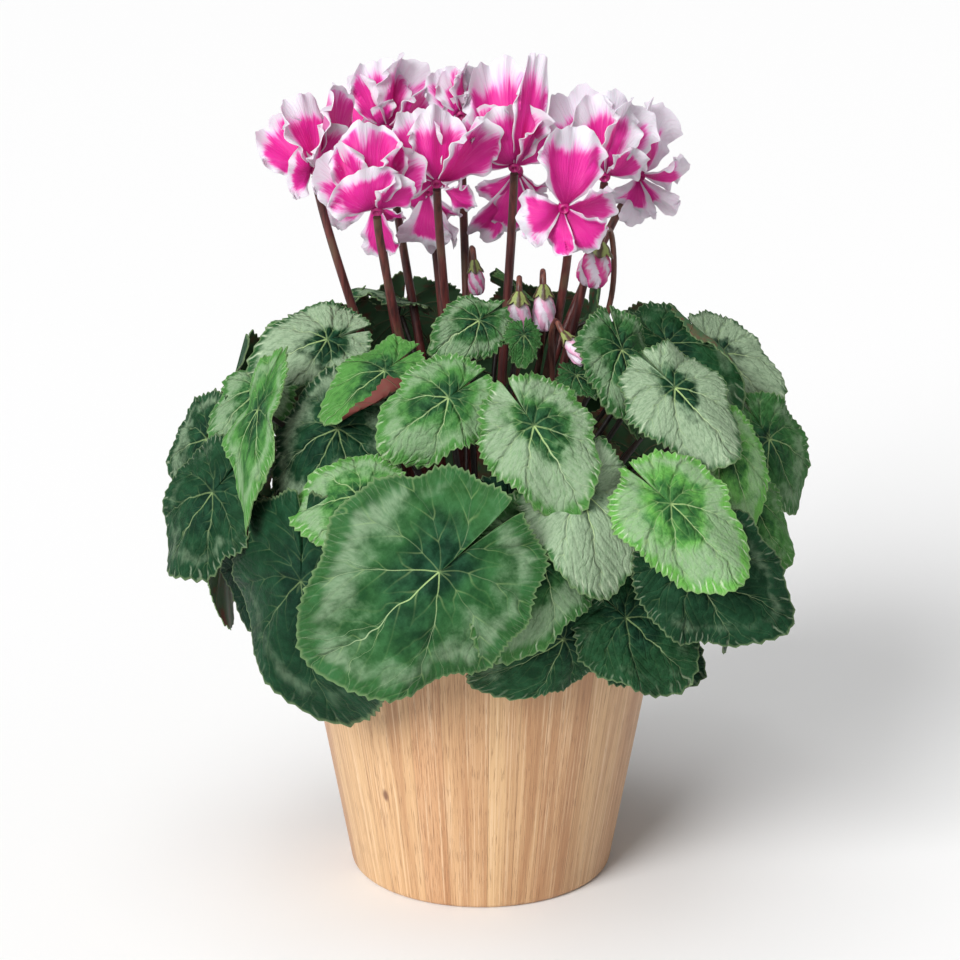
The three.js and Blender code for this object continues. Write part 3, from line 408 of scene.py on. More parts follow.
STALK_APPROACHES = (
    (0, 0.5, -0.86), (0, 0.8, -0.6), (0.3, 0.7, -0.6), (-0.3, 0.7, -0.6), (0, 1, -0.1), (0, 0.2, -1),
    (0.7, 0.5, -0.5), (-0.7, 0.5, -0.5), (0, 0.9, 0.4),
)


def stalk_curves(mouth):
    root = root_point(mouth, 0.14 * math.hypot(mouth[0], mouth[1]))
    for bow in (0, 14, -14, 28, -28):
        for approach in STALK_APPROACHES:
            way = unit(vec(approach))
            end = mouth + way * (0.94 * BLOOM_CORE + 0.3)
            knee = end + way * 26
            start = root + (knee - root) * 0.4
            start[0] += bow
            yield root, start, knee, end


def petiole_curves(blade, root, gap):
    end = blade.at - blade.out * (0.5 * SOLID_LEAF_THICKNESS + gap)
    outward = unit(np.array([blade.at[0], blade.at[1], 0.0]))
    for sway in (0, 12, -12, 26, -26, 44, -44):
        for reach in (34, 20, 52, 12):
            for lift in (30, 52, 12):
                rise = root + UP * lift + outward * 10
                knee = end - blade.out * reach + blade.across * sway
                yield root, rise, knee, end


def front_root(at):
    ring = min(max(16 - 0.07 * (at[2] - FOLIAGE_MIDDLE), 11), 20)
    return root_point((at[0], min(at[1], 0) - 8), ring)


def trunk_foot(index):
    turn = math.radians(TRUNK_TURNS[index])
    return np.array([TRUNK_RING * math.sin(turn), TRUNK_RING * math.cos(turn), TUBER_TOP + 0.3])


def through(points, count):
    """A smooth path through the points, tight where they lie close together."""
    knots = [2 * points[0] - points[1], *points, 2 * points[-1] - points[-2]]
    path = []
    for k in range(1, len(knots) - 2):
        p0, p1, p2, p3 = knots[k - 1:k + 3]
        d0, d1, d2 = (max(np.linalg.norm(b - a) ** 0.5, 1e-4) for a, b in ((p0, p1), (p1, p2), (p2, p3)))
        t1 = ((p1 - p0) / d0 - (p2 - p0) / (d0 + d1) + (p2 - p1) / d1) * d1
        t2 = ((p2 - p1) / d1 - (p3 - p1) / (d1 + d2) + (p3 - p2) / d2) * d1
        share = np.linspace(0, 1, count, endpoint=k == len(knots) - 3)[:, None]
        path.append((2 * share ** 3 - 3 * share ** 2 + 1) * p1 + (share ** 3 - 2 * share ** 2 + share) * t1
                    + (-2 * share ** 3 + 3 * share ** 2) * p2 + (share ** 3 - share ** 2) * t2)
    return np.concatenate(path)


def bud_stalk_path(bud):
    _, at, hang, _, radius, _ = bud
    at, hang = vec(at), unit(vec(hang))
    back = unit(np.array([-hang[0], 0.6 - hang[1], 0.0]))
    end = at - hang * 0.5
    over = end - hang * 6
    top = over + back * (radius * 0.6 + 1) + UP * 3
    behind = top + back * (radius * 0.6 + 2) - UP * 6
    root = root_point(at, BUD_RING)
    knee = behind - UP * 30
    return through([root, (root + knee) / 2, knee, behind, top, over, end - hang * 0.6 * CALYX_LENGTH], 12)


# ---------------------------------------------------------------- meshes

def new_mesh(name, points, faces, finishes, uv=None, looks=None, slots=None, sharp=50):
    """A mesh from points in millimetres. uv and looks hold one entry for each point."""
    mesh = bpy.data.meshes.new(name)
    mesh.from_pydata((np.asarray(points) * MM).tolist(), [], faces)
    loops = np.empty(len(mesh.loops), np.int32)
    mesh.loops.foreach_get("vertex_index", loops)
    if uv is not None:
        set_layers(mesh, np.asarray(uv, np.float32)[loops], looks, "POINT")
    for finish in finishes:
        mesh.materials.append(bpy.data.materials[finish])
    if slots is not None:
        mesh.polygons.foreach_set("material_index", np.asarray(slots, np.int32))
    mesh.polygons.foreach_set("use_smooth", np.ones(len(mesh.polygons), bool))
    mesh.set_sharp_from_angle(angle=math.radians(sharp))
    mesh.validate()
    mesh.update()
    return mesh


def set_layers(mesh, uv, looks, domain):
    """Gives a mesh its place on the piece and its look, which the materials read."""
    mesh.uv_layers.new(name="form").data.foreach_set("uv", uv.ravel())
    layer = mesh.color_attributes.new("look", "FLOAT_COLOR", domain)
    layer.data.foreach_set("color", np.asarray(looks, np.float32).ravel())


def new_piece(name, mesh, node):
    """A finished piece that rides with the plant and stands for the CAD node."""
    piece = bpy.data.objects.new(name, mesh)
    bpy.context.scene.collection.objects.link(piece)
    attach(piece, "root")
    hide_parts(node)


def looks_of(count, *numbers):
    """The look of many points: four numbers for each, some of them the same everywhere."""
    return np.stack([np.broadcast_to(number, count) for number in numbers], axis=1)


def ring(radius, angle, height):
    """Points round the Z axis."""
    height = np.broadcast_to(height, len(angle))
    return np.stack([radius * np.cos(angle), radius * np.sin(angle), height], axis=1)


def grid_faces(rows, columns, closed=False):
    """Quads of a grid of points, row by row; a closed grid joins its last column to its first."""
    row, column = np.meshgrid(np.arange(rows - 1), np.arange(columns - (not closed)), indexing="ij")
    row, column = row.ravel(), column.ravel()
    after = (column + 1) % columns
    return np.stack([row * columns + column, row * columns + after,
                     (row + 1) * columns + after, (row + 1) * columns + column], axis=1)


def sheet_faces(top, rim, count):
    """Closes a sheet: its upper faces, the same below, and a wall round its rim; and their slots."""
    under = [[corner + count for corner in reversed(face)] for face in top]
    wall = [[a, a + count, b + count, b] for a, b in zip(rim, rim[1:] + rim[:1])]
    return top + under + wall, [0] * len(top) + [1] * len(under) + [0] * len(wall)


class Parts:
    """Several closed forms gathered into one mesh."""

    def __init__(self):
        self.points, self.faces, self.uv, self.looks, self.slots = [], [], [], [], []
        self.count = 0

    def add(self, points, faces, uv, look, slots):
        self.points.append(points)
        self.faces.extend([[corner + self.count for corner in face] for face in faces])
        self.uv.append(uv)
        self.looks.append(look)
        self.slots.extend(slots)
        self.count += len(points)

    def mesh(self, name, finishes):
        return new_mesh(name, np.concatenate(self.points), self.faces, finishes, np.concatenate(self.uv),
                        np.concatenate(self.looks), self.slots)


def capped_faces(rings, sides):
    """The faces of a form of rings that is closed by a point at each end."""
    faces = [[corner + 1 for corner in face] for face in grid_faces(rings, sides, closed=True).tolist()]
    last = rings * sides + 1
    for k in range(sides):
        after = (k + 1) % sides
        faces.append([0, 1 + after, 1 + k])
        faces.append([last, last - sides + k, last - sides + after])
    return faces


def revolve(profile, turns):
    """A closed form turned about the Z axis from a profile that starts and ends on the axis."""
    turns = np.asarray(turns)
    points = [[[0, 0, profile[0][1]]]]
    points += [ring(radius, turns, height) for radius, height in profile[1:-1]]
    points.append([[0, 0, profile[-1][1]]])
    return np.concatenate(points), capped_faces(len(profile) - 2, len(turns))


def even_turns(sides):
    return np.linspace(0, FULL_TURN, sides, endpoint=False)


# ---------------------------------------------------------------- shader writing

def add_node(tree, kind, inputs=None, **settings):
    """Adds a node with its settings, and sets or links its inputs."""
    node = tree.nodes.new(kind)
    for key, value in settings.items():
        setattr(node, key, value)
    for key, value in (inputs or {}).items():
        if isinstance(value, bpy.types.NodeSocket):
            tree.links.new(value, node.inputs[key])
        else:
            node.inputs[key].default_value = value
    return node


def arithmetic(operation, reflected=False):
    """A method of Value that adds a Math node."""
    def method(value, other=0.0):
        first, second = (other, value) if reflected else (value, other)
        return value.shader.math(operation, first, second)
    return method


class Value:
    """A socket of a shader. Arithmetic on it adds Math nodes."""

    def __init__(self, shader, socket):
        self.shader = shader
        self.socket = socket

    __add__ = arithmetic("ADD")
    __radd__ = arithmetic("ADD", True)
    __sub__ = arithmetic("SUBTRACT")
    __rsub__ = arithmetic("SUBTRACT", True)
    __mul__ = arithmetic("MULTIPLY")
    __rmul__ = arithmetic("MULTIPLY", True)
    __truediv__ = arithmetic("DIVIDE")
    __abs__ = arithmetic("ABSOLUTE")


class Shader:
    """A material whose node tree is written as expressions."""

    def __init__(self, name):
        self.material = bpy.data.materials.new(name)
        self.material.use_nodes = True
        self.tree = self.material.node_tree
        self.tree.nodes.clear()

    def node(self, kind, inputs=None, output=0, **settings):
        sockets = {key: getattr(value, "socket", value) for key, value in (inputs or {}).items()}
        node = add_node(self.tree, kind, sockets, **settings)
        return Value(self, node.outputs[output]) if len(node.outputs) else node

    def math(self, operation, first, second=0.0):
        return self.node("ShaderNodeMath", {0: first, 1: second}, operation=operation)

    def smaller(self, first, second):
        return self.math("MINIMUM", first, second)

    def larger(self, first, second):
        return self.math("MAXIMUM", first, second)

    def fade(self, value, low, high, start=0.0, end=1.0):
        """Goes smoothly from start to end while the value goes from low to high."""
        return self.node("ShaderNodeMapRange", {"Value": value, "From Min": low, "From Max": high,
                                                "To Min": start, "To Max": end},
                         interpolation_type="SMOOTHSTEP")

    def mix(self, factor, first, second):
        first, second = (color if isinstance(color, Value) else (*color, 1) for color in (first, second))
        return self.node("ShaderNodeMix", {0: factor, 6: first, 7: second}, output=2, data_type="RGBA")

    def vector(self, x, y, z=0.0):
        return self.node("ShaderNodeCombineXYZ", {0: x, 1: y, 2: z})

    def noise(self, vector, scale, detail=2.0, roughness=0.5):
        return self.node("ShaderNodeTexNoise", {"Vector": vector, "Scale": scale, "Detail": detail,
                                                "Roughness": roughness})

    def parts(self, kind, link, outputs):
        """The outputs of a node that takes a link apart."""
        node = add_node(self.tree, kind, {0: link})
        return [Value(self, node.outputs[k]) for k in range(outputs)]

    def apart(self, vector):
        return self.parts("ShaderNodeSeparateXYZ", vector.socket, 3)

    def chance(self, vector):
        """A number from 0 to 1 that is the same wherever the vector is the same."""
        return self.node("ShaderNodeTexWhiteNoise", {"Vector": vector}, noise_dimensions="3D")

    def form(self):
        """The two numbers that say where on its piece a point lies."""
        return self.apart(self.node("ShaderNodeUVMap", uv_map="form"))[:2]

    def look(self):
        """The four numbers kept with each point."""
        attribute = add_node(self.tree, "ShaderNodeAttribute", attribute_name="look")
        three = self.parts("ShaderNodeSeparateColor", attribute.outputs["Color"], 3)
        return [*three, Value(self, attribute.outputs["Alpha"])]

    def on_blade(self):
        """Where on its leaf a point lies: along it, how far out, at what angle, and a spot for noise;
        and then the look."""
        u, v = self.form()
        look = self.look()
        reach, angle = self.math("SQRT", u * u + v * v), self.math("ARCTAN2", v, u)
        return u, reach, angle, self.vector(u, v, look[2] * 7.3), look

    def place(self):
        return self.node("ShaderNodeTexCoord", output="Object")

    def bump(self, height, distance, strength=1.0):
        return self.node("ShaderNodeBump", {"Height": height, "Distance": distance, "Strength": strength})

    def finish(self, color, roughness, normal=None, **constants):
        inputs = {"Base Color": color if isinstance(color, Value) else (*color, 1), "Roughness": roughness}
        if normal is not None:
            inputs["Normal"] = normal
        inputs.update({key.replace("_", " "): value for key, value in constants.items()})
        surface = self.node("ShaderNodeBsdfPrincipled", inputs)
        self.node("ShaderNodeOutputMaterial", {"Surface": surface})
        return self.material


def leaf_material(settings):
    """The upper side of a leaf: green, with a silver band that feathers out to the teeth, and fine forked
    veins that are palest near the stalk. Beside the veins the green is darkened with painted shade for their
    sunken grooves."""
    s = Shader(LEAF_FINISHES[0])
    u, reach, angle, spot, (silver, green_tone_and_shade, seed, share) = s.on_blade()
    centimetres = s.math("FLOOR", seed)
    large = centimetres * 0.2
    wander = s.noise(spot, 3.2, 2.0) - 0.5
    sector = angle * (1.0 + VEIN_BEND * reach) * (1 / VEIN_STEP) + wander * 0.5
    index = s.math("ROUND", sector)
    aside = abs(sector - index)
    distance = aside * reach * VEIN_STEP
    strength = 0.35 + 0.55 * s.chance(s.vector(index, seed * 37.0))
    strength = strength * s.fade(abs(index), 0.0, 2.6, 1.1, 0.2)
    strength = strength * s.smaller(0.16 + 1.1 * silver + 0.8 * green_tone_and_shade, 1.0)

    trunk = s.fade(distance * large - (1.0 - share) * 0.0045, 0.0005, 0.0042, 1.0, 0.0)
    fork_from = 0.3 + 0.2 * s.chance(s.vector(index, seed * 91.0))
    fork_at = s.fade(share, fork_from, 1.2, 0.0, 0.44)
    fork = s.fade(abs(aside - fork_at) * reach * large * VEIN_STEP, 0.0006, 0.0040, 1.0, 0.0)
    fork = fork * s.fade(share, 0.3, 0.4)
    ladder = (reach * 0.9 - distance * 1.15) * 6.5 + wander * 1.5
    rung = abs(ladder - s.math("ROUND", ladder))
    side_veins = s.fade(rung, 0.0, 0.09, 1.0, 0.0) * s.fade(distance, 0.0, 0.1, 1.0, 0.2)

    mottle = s.noise(spot, 7.0, 5.0, 0.6)
    fine = s.noise(spot, 34.0, 3.0, 0.6)
    cloud = s.noise(spot, 2.1, 2.0)
    comb = s.noise(s.vector(angle * 6.0, reach * 1.6, seed * 11.0), 1.6, 2.0, 0.5)
    zone = share + (mottle - 0.5) * 0.5 + (cloud - 0.5) * 0.9 + (silver - 0.5) * 0.9
    inner = s.fade(zone + u / (reach + 0.1) * 0.1, 0.5, 0.78)
    far = share + (comb - 0.5) * 0.3 + (mottle - 0.5) * 0.1 - 0.24 * silver
    outer = s.fade(far, 0.68, 0.8, 1.0, 0.0)
    from_vein = s.fade(distance, 0.0, 0.035, 0.72, 1.0)
    hatch = s.noise(s.vector(angle * 13.0, reach * 6.0, seed * 5.0), 2.2, 3.0, 0.6)
    band = inner * outer * from_vein * s.fade(silver, 0.0, 0.9, 0.15, 1.0)
    band = s.smaller(band * s.fade(hatch, 0.3, 0.6, 0.66, 1.04), 1.0)

    # Dim leaves sink toward the darkest green: partly their own older tone, partly painted shade for the low
    # and inner leaves that lie in shade.
    shade = s.smaller(0.3 + 3.0 * green_tone_and_shade, 1.0)
    dark = s.mix(s.fade(mottle, 0.36, 0.7) * shade, settings.deep_green, settings.dark_green)
    youth = s.fade(mottle + share * 0.3, 0.4, 0.8) * s.smaller(green_tone_and_shade * 1.5, 1.0)
    fresh = s.mix(youth, settings.mid_green, settings.fresh_green)
    outward = share + (cloud - 0.5) * 0.9 + (mottle - 0.5) * 0.3
    glow = s.smaller(green_tone_and_shade * s.fade(outward, 0.12, 0.6, 0.45 * green_tone_and_shade, 1.25), 1.0)
    green = s.mix(glow, dark, fresh)
    # Painted shade: the green is darkened beside the sunken veins, where shade lies in their grooves.
    vein_groove_shade = s.fade(distance, 0.0, 0.03, 0.2, 0.0) * s.fade(share, 0.2, 0.5)
    color = s.mix(band, s.mix(vein_groove_shade, green, settings.deep_green), settings.silver)
    color = s.mix(side_veins * s.smaller(0.04 + 0.24 * silver + 0.24 * green_tone_and_shade, 0.34), color, settings.vein)

    tooth = angle * centimetres * 2.9 + wander * 2.2 + (mottle - 0.5) * 0.6
    tooth_index = s.math("ROUND", tooth)
    which = s.chance(s.vector(tooth_index, seed * 53.0))
    lash = s.fade(abs(tooth - tooth_index), 0.02, 0.18, 1.0, 0.0) * s.fade(which, 0.15, 0.4)
    start = 0.95 - 0.13 * which
    fringe = lash * s.fade(share - start, 0.0, 0.05) * s.fade(share, 0.94, 1.0, 1.0, 0.4)
    fringe = fringe * s.fade(cloud, 0.32, 0.55, 0.35, 1.0) * s.fade(centimetres, 4.0, 7.0, 1.0, 0.2)
    color = s.mix(fringe * s.smaller(silver + 0.3 * green_tone_and_shade, 0.75), color, settings.lash)

    paler = s.fade(share, 0.1, 0.6, 0.0, 0.7) * s.smaller(silver + 0.3, 1.0)
    vein_color = s.mix(paler, settings.vein, settings.lash)
    shadow = s.fade(distance, 0.0, 0.012, 0.1, 0.0) * s.fade(share, 0.15, 0.3)
    color = s.mix(shadow, color, settings.deep_green)
    color = s.mix(trunk * strength * s.fade(share, 0.25, 0.9, 1.0, 0.5), color, vein_color)
    color = s.mix(s.fade(reach, 0.0, 0.2, 0.4, 0.0) * trunk * strength, color, settings.vein)
    color = s.mix(fork * strength * 0.5, color, vein_color)
    color = s.mix(s.fade(share, 0.965, 1.0) * 0.4, color, settings.edge)

    relief = mottle * 0.9 + fine * 0.25 + s.fade(distance, 0.0, 0.05) * 0.4
    relief = relief + s.fade(rung, 0.0, 0.3) * 0.16
    return s.finish(color, 0.46 + 0.16 * mottle, s.bump(relief, 0.0018, 0.9), Specular_IOR_Level=0.07)


def underside_material(settings):
    """The lower side of a leaf: dull pale green, flushed wine red, with raised veins."""
    s = Shader(LEAF_FINISHES[1])
    _, reach, angle, spot, (_, green_tone_and_shade, _, share) = s.on_blade()
    sector = angle * (1.0 + VEIN_BEND * reach) * (1 / VEIN_STEP)
    distance = abs(sector - s.math("ROUND", sector)) * reach * VEIN_STEP
    mottle = s.noise(spot, 6.0, 3.0)
    # Bright leaves are redder below.
    redder = s.fade(green_tone_and_shade, 0.51, 0.52)
    flush = s.fade(mottle + 0.2 * share + redder * 0.3, 0.62, 0.95)
    color = s.mix(flush, settings.under_green, settings.under_red)
    veins = s.fade(distance, 0.004, 0.014, 1.0, 0.0)
    color = s.mix(veins * 0.5, color, settings.under_vein)
    return s.finish(color, 0.6, s.bump(veins, 0.0008, 0.8), Specular_IOR_Level=0.1)


def petal_material(settings, name, reverse):
    """A petal: strong pink from a deep base, feathering out into a broad white border."""
    s = Shader(name)
    across, along = s.form()
    pale, seed, _, _ = s.look()
    fanned = across * (1.0 - 0.62 * along * along)
    streaks = s.noise(s.vector(fanned * 15.0, along * 1.6, seed * 9.0), 2.0, 3.0, 0.6)
    clouds = s.noise(s.vector(across, along, seed * 5.0), 1.9, 2.0)
    edge = s.smaller((1.0 - abs(across)) * 0.7, (1.0 - along) * 1.15)
    feathered = edge - (streaks - 0.5) * 0.24 * s.fade(edge, 0.0, 0.08) - (clouds - 0.5) * 0.5 - pale * 0.3
    border = s.fade(feathered, 0.0, 0.27, 1.0, 0.0)
    border = s.larger(border, s.fade(edge, 0.02, 0.08, 1.0, 0.0))
    body = s.mix(s.fade(along, 0.02, 0.42), settings.deep_pink, settings.pink)
    body = s.mix(s.fade(streaks, 0.5, 0.75) * 0.14, body, settings.light_pink)
    if reverse:
        body = s.mix(s.larger(0.4 + 0.4 * pale, 0.3), body, settings.lilac)
    soft = s.mix(s.fade(border, 0.0, 0.6), body, settings.light_pink)
    color = s.mix(s.fade(border, 0.3, 0.9), soft, settings.white)
    fine = s.fade(streaks, 0.5, 0.6) * s.fade(border, 0.5, 1.0, 1.0, 0.4) * s.fade(edge, 0.04, 0.1) * 0.2
    color = s.mix(fine, color, settings.pink)
    return s.finish(color, 0.5, s.bump(streaks * 0.7 + clouds * 0.6, 0.0012, 0.6), Specular_IOR_Level=0.3,
                    Subsurface_Weight=0.35, Subsurface_Radius=(1.0, 0.5, 0.7), Subsurface_Scale=0.004)


def bud_material(settings):
    """Rolled petals: white with pink along the folds."""
    s = Shader("bud_petals")
    around, along = s.form()
    pink, seed, fold, _ = s.look()
    streaks = s.noise(s.vector(around * 9.0, along * 1.6, seed * 5.0), 3.0, 3.0, 0.6)
    stripe = s.fade(fold + (streaks - 0.5) * 0.9, 0.3, 0.75)
    color = s.mix(stripe * (0.25 + 0.75 * pink), settings.white, settings.pink)
    color = s.mix(s.fade(along, 0.0, 0.25, 0.45, 0.0), color, settings.bud_green)
    return s.finish(color, 0.5, s.bump(streaks, 0.0006, 0.4), Specular_IOR_Level=0.35)


def stalk_material(name, low, high, green):
    """A fleshy stalk: mottled red-brown, lengthwise streaks, a little green where it is young."""
    s = Shader(name)
    x, y, z = s.apart(s.place())
    spot = s.vector(x * 900.0, y * 900.0, z * 60.0)
    streak = s.noise(spot, 0.5, 3.0, 0.6)
    blotch = s.noise(s.place(), 60.0, 3.0)
    color = s.mix(s.fade(streak, 0.3, 0.7), low, high)
    color = s.mix(s.fade(blotch, 0.5, 0.72) * 0.6, color, green)
    return s.finish(color, 0.36 + 0.2 * blotch, s.bump(streak, 0.0005, 0.4), Specular_IOR_Level=0.5)


def wood_material(settings):
    """Light lacquered wood glued from upright staves, each with its own tone and grain."""
    s = Shader("stave_wood")
    around, height = s.form()
    tone, seed, side, _ = s.look()
    drift = s.noise(s.vector(around * 0.02, height * 0.006, seed * 21.0), 1.0, 2.0)
    rings = s.noise(s.vector(around * 0.09 + drift * 2.4, height * 0.003, seed * 13.0), 1.0, 3.0, 0.5)
    fibre = s.noise(s.vector(around * 1.1, height * 0.012, seed * 17.0), 1.0, 4.0, 0.62)
    pores = s.noise(s.vector(around * 2.4, height * 0.09, seed * 31.0), 1.0, 2.0, 0.5)
    base = s.mix(tone, settings.wood_light, settings.wood_warm)
    lines = s.noise(s.vector(around * 0.42 + drift * 3.0, height * 0.005, seed * 9.0), 1.0, 2.0, 0.5)
    color = s.mix(s.fade(rings, 0.42, 0.66) * 0.7, base, settings.wood_late)
    patch = s.noise(s.vector(around * 0.05, height * 0.02, seed * 3.0), 1.0, 3.0)
    color = s.mix(s.fade(lines, 0.5, 0.66) * s.fade(patch, 0.3, 0.6, 0.0, 0.4), color, settings.wood_late)
    color = s.mix(s.fade(fibre, 0.5, 0.68) * 0.58, color, settings.wood_pale)
    color = s.mix(s.fade(fibre, 0.34, 0.48, 0.4, 0.0), color, settings.wood_pore)
    dash = s.fade(pores - 0.06 * (1.0 - tone), 0.56, 0.64)
    color = s.mix(dash * 0.65, color, settings.wood_pore)
    seam = s.fade(s.smaller(side, 1.0 - side), 0.0, 0.02, 1.0, 0.0)
    color = s.mix(seam * 0.22, color, settings.wood_pore)
    knot_x, knot_z = around - settings.knot_at, height - 65.0
    knot = s.math("SQRT", knot_x * knot_x + knot_z * knot_z * 0.35)
    color = s.mix(s.fade(knot, 0.8, 2.6, 0.85, 0.0), color, settings.wood_knot)
    relief = fibre * 0.4 - dash * 0.6 - seam * 1.0
    return s.finish(color, 0.46 + 0.16 * fibre - 0.08 * rings, s.bump(relief, 0.0004, 0.6),
                    Coat_Weight=0.12, Coat_Roughness=0.35)


def plastic_material(color):
    s = Shader("moulded_plastic")
    grain = s.noise(s.place(), 1800.0, 2.0)
    scuff = s.noise(s.place(), 90.0, 3.0)
    shade = s.mix(s.fade(scuff, 0.45, 0.75) * 0.3, color, (0.06, 0.055, 0.05))
    return s.finish(shade, 0.42 + 0.2 * scuff, s.bump(grain, 0.0002, 0.5))


def soil_material(settings):
    s = Shader("potting_soil")
    crumbs = s.noise(s.place(), 500.0, 4.0, 0.7)
    patches = s.noise(s.place(), 60.0, 3.0)
    color = s.mix(s.fade(crumbs, 0.35, 0.7), settings.soil_dark, settings.soil_light)
    color = s.mix(s.fade(patches, 0.55, 0.75) * 0.5, color, settings.soil_fibre)
    return s.finish(color, 0.92, s.bump(crumbs, 0.0018, 1.0))


def tuber_material():
    s = Shader("tuber_skin")
    ridges = s.noise(s.place(), 140.0, 5.0, 0.7)
    color = s.mix(s.fade(ridges, 0.35, 0.7), (0.035, 0.018, 0.012), (0.14, 0.08, 0.05))
    return s.finish(color, 0.8, s.bump(ridges, 0.002, 0.9))


def calyx_material(settings):
    """Sepals: yellow-green with brown-red stripes down their middles."""
    s = Shader("calyx")
    around, along = s.form()
    _, seed, rib, _ = s.look()
    grain = s.noise(s.vector(around * 6.0, along * 2.0, seed * 3.0), 3.0, 3.0)
    color = s.mix(s.fade(rib + (grain - 0.5) * 0.6, 0.35, 0.8), settings.bud_green, settings.sepal_brown)
    return s.finish(color, 0.5, s.bump(rib, 0.0006, 0.5))


# ---------------------------------------------------------------- sizes and colours

def size(name, default, description):
    return FloatProperty(name=name, description=description, default=default, unit="LENGTH", min=0.0001)


def paint(name, default, description):
    return FloatVectorProperty(name=name, description=description, default=default, subtype="COLOR",
                               size=3, min=0.0, max=1.0)


class CyclamenLeafSettings(bpy.types.PropertyGroup):
    thickness: size("Blade thickness", 0.0007, "Thickness of every leaf blade")
    tooth: size("Tooth", 0.0034, "Usual width of a tooth on the margin")
    tooth_height: size("Tooth height", 0.0015, "Usual height of a tooth on the margin")
    samples: IntProperty(name="Points per tooth", description="Mesh points for each tooth",
                         default=4, min=4, max=8)
    rings: IntProperty(name="Rings", description="Rings of mesh points from stalk to margin",
                       default=11, min=6)
    deep_green: paint("Deep green", (0.003, 0.020, 0.010), "Darkest leaf green")
    dark_green: paint("Dark green", (0.017, 0.072, 0.036), "Usual leaf green")
    mid_green: paint("Middle green", (0.032, 0.150, 0.036), "Middle green of young leaves")
    fresh_green: paint("Fresh green", (0.130, 0.370, 0.070), "Yellow-green of young leaves")
    silver: paint("Silver", (0.285, 0.390, 0.250), "Silver-grey band")
    lash: paint("Lashes", (0.520, 0.620, 0.430), "Pale strokes that run out to the teeth")
    vein: paint("Veins", (0.400, 0.560, 0.220), "Pale green veins")
    edge: paint("Edge", (0.260, 0.360, 0.170), "Edge of the teeth")
    under_green: paint("Underside green", (0.048, 0.110, 0.050), "Underside")
    under_red: paint("Underside red", (0.150, 0.044, 0.036), "Red flush of the underside")
    under_vein: paint("Underside veins", (0.190, 0.160, 0.090), "Raised veins of the underside")


class CyclamenFlowerSettings(bpy.types.PropertyGroup):
    thickness: size("Petal thickness", 0.0005, "Thickness of every petal")
    rows: IntProperty(name="Rows", description="Mesh rows along a petal", default=34, min=8)
    columns: IntProperty(name="Columns", description="Mesh columns across a petal", default=39, min=7)
    deep_pink: paint("Deep pink", (0.440, 0.002, 0.160), "Base of the petals")
    pink: paint("Pink", (0.700, 0.016, 0.265), "Body of the petals")
    light_pink: paint("Light pink", (0.860, 0.330, 0.640), "Where pink fades into white")
    lilac: paint("Lilac", (0.740, 0.490, 0.680), "Reverse side of the petals")
    white: paint("White", (0.710, 0.635, 0.725), "Ruffled border")
    bud_green: paint("Bud green", (0.270, 0.330, 0.100), "Green base of the buds and sepals")
    sepal_brown: paint("Sepal brown", (0.070, 0.040, 0.020), "Stripes of the sepals")


class CyclamenStalkSettings(bpy.types.PropertyGroup):
    sides: IntProperty(name="Sides", description="Sides of the round stalks", default=14, min=6)
    low: paint("Dark red-brown", (0.040, 0.008, 0.008), "Shadow tone of the stalks")
    high: paint("Red-brown", (0.140, 0.030, 0.025), "Light tone of the stalks")
    green: paint("Stalk green", (0.110, 0.070, 0.035), "Green patches of the stalks")


class CyclamenPotSettings(bpy.types.PropertyGroup):
    stave: size("Stave width", 0.021, "Usual width of a stave at the rim")
    grain_size: size("Soil crumb", 0.0022, "Radius of a crumb of soil")
    crumbs: FloatProperty(name="Crumb density", description="Crumbs for each square metre", default=42000.0)
    knot_at: FloatProperty(name="Knot", description="Place of the small knot round the pot", default=-56.0)
    wood_light: paint("Light wood", (0.670, 0.430, 0.220), "Light staves")
    wood_warm: paint("Warm wood", (0.570, 0.310, 0.155), "Darker, pinker staves")
    wood_late: paint("Late wood", (0.410, 0.190, 0.080), "Dark lines of the grain")
    wood_pale: paint("Pale fibre", (0.800, 0.580, 0.370), "Pale fibres")
    wood_pore: paint("Pores", (0.330, 0.160, 0.070), "Pores and seams")
    wood_knot: paint("Knot", (0.150, 0.055, 0.028), "Small knot")
    plastic: paint("Plastic", (0.022, 0.020, 0.019), "Growing pot")
    soil_dark: paint("Dark soil", (0.010, 0.007, 0.005), "Dark soil")
    soil_light: paint("Light soil", (0.060, 0.038, 0.024), "Light crumbs")
    soil_fibre: paint("Fibre", (0.110, 0.072, 0.045), "Fibres in the soil")


class CyclamenStageSettings(bpy.types.PropertyGroup):
    floor: size("Floor", 190.0, "Width of the pale floor")
    key: FloatProperty(name="Key light", description="Strength of the soft light from the left", default=3.2)
    top: FloatProperty(name="Top light", description="Strength of the soft light from above", default=1.0)
    sky: FloatProperty(name="Sky", description="Strength of the even light from all round", default=0.3)


# ---------------------------------------------------------------- leaves

def rolled_over(blade, middle, half, roll):
    """The two sides of a blade, with the margin on one side rolled up and back over it."""
    if roll is None:
        return np.concatenate([middle + half * blade.out, middle - half * blade.out])
    way = blade.along * math.cos(roll[0]) + blade.across * math.sin(roll[0])
    past = (middle - blade.at) @ way - roll[1] * blade.length
    radius = ROLL_RADIUS * blade.length
    turn = np.clip(past / radius, 0, ROLL_TURN)[:, None]
    rest = np.maximum(past - radius * ROLL_TURN, 0)[:, None]
    ahead = radius * np.sin(turn) + rest * np.cos(turn) - np.maximum(past, 0)[:, None]
    above = radius * (1 - np.cos(turn)) + rest * np.sin(turn)
    middle = middle + ahead * way + above * blade.out
    side = (blade.out * np.cos(turn) - way * np.sin(turn)) * half
    return np.concatenate([middle + side, middle - side])


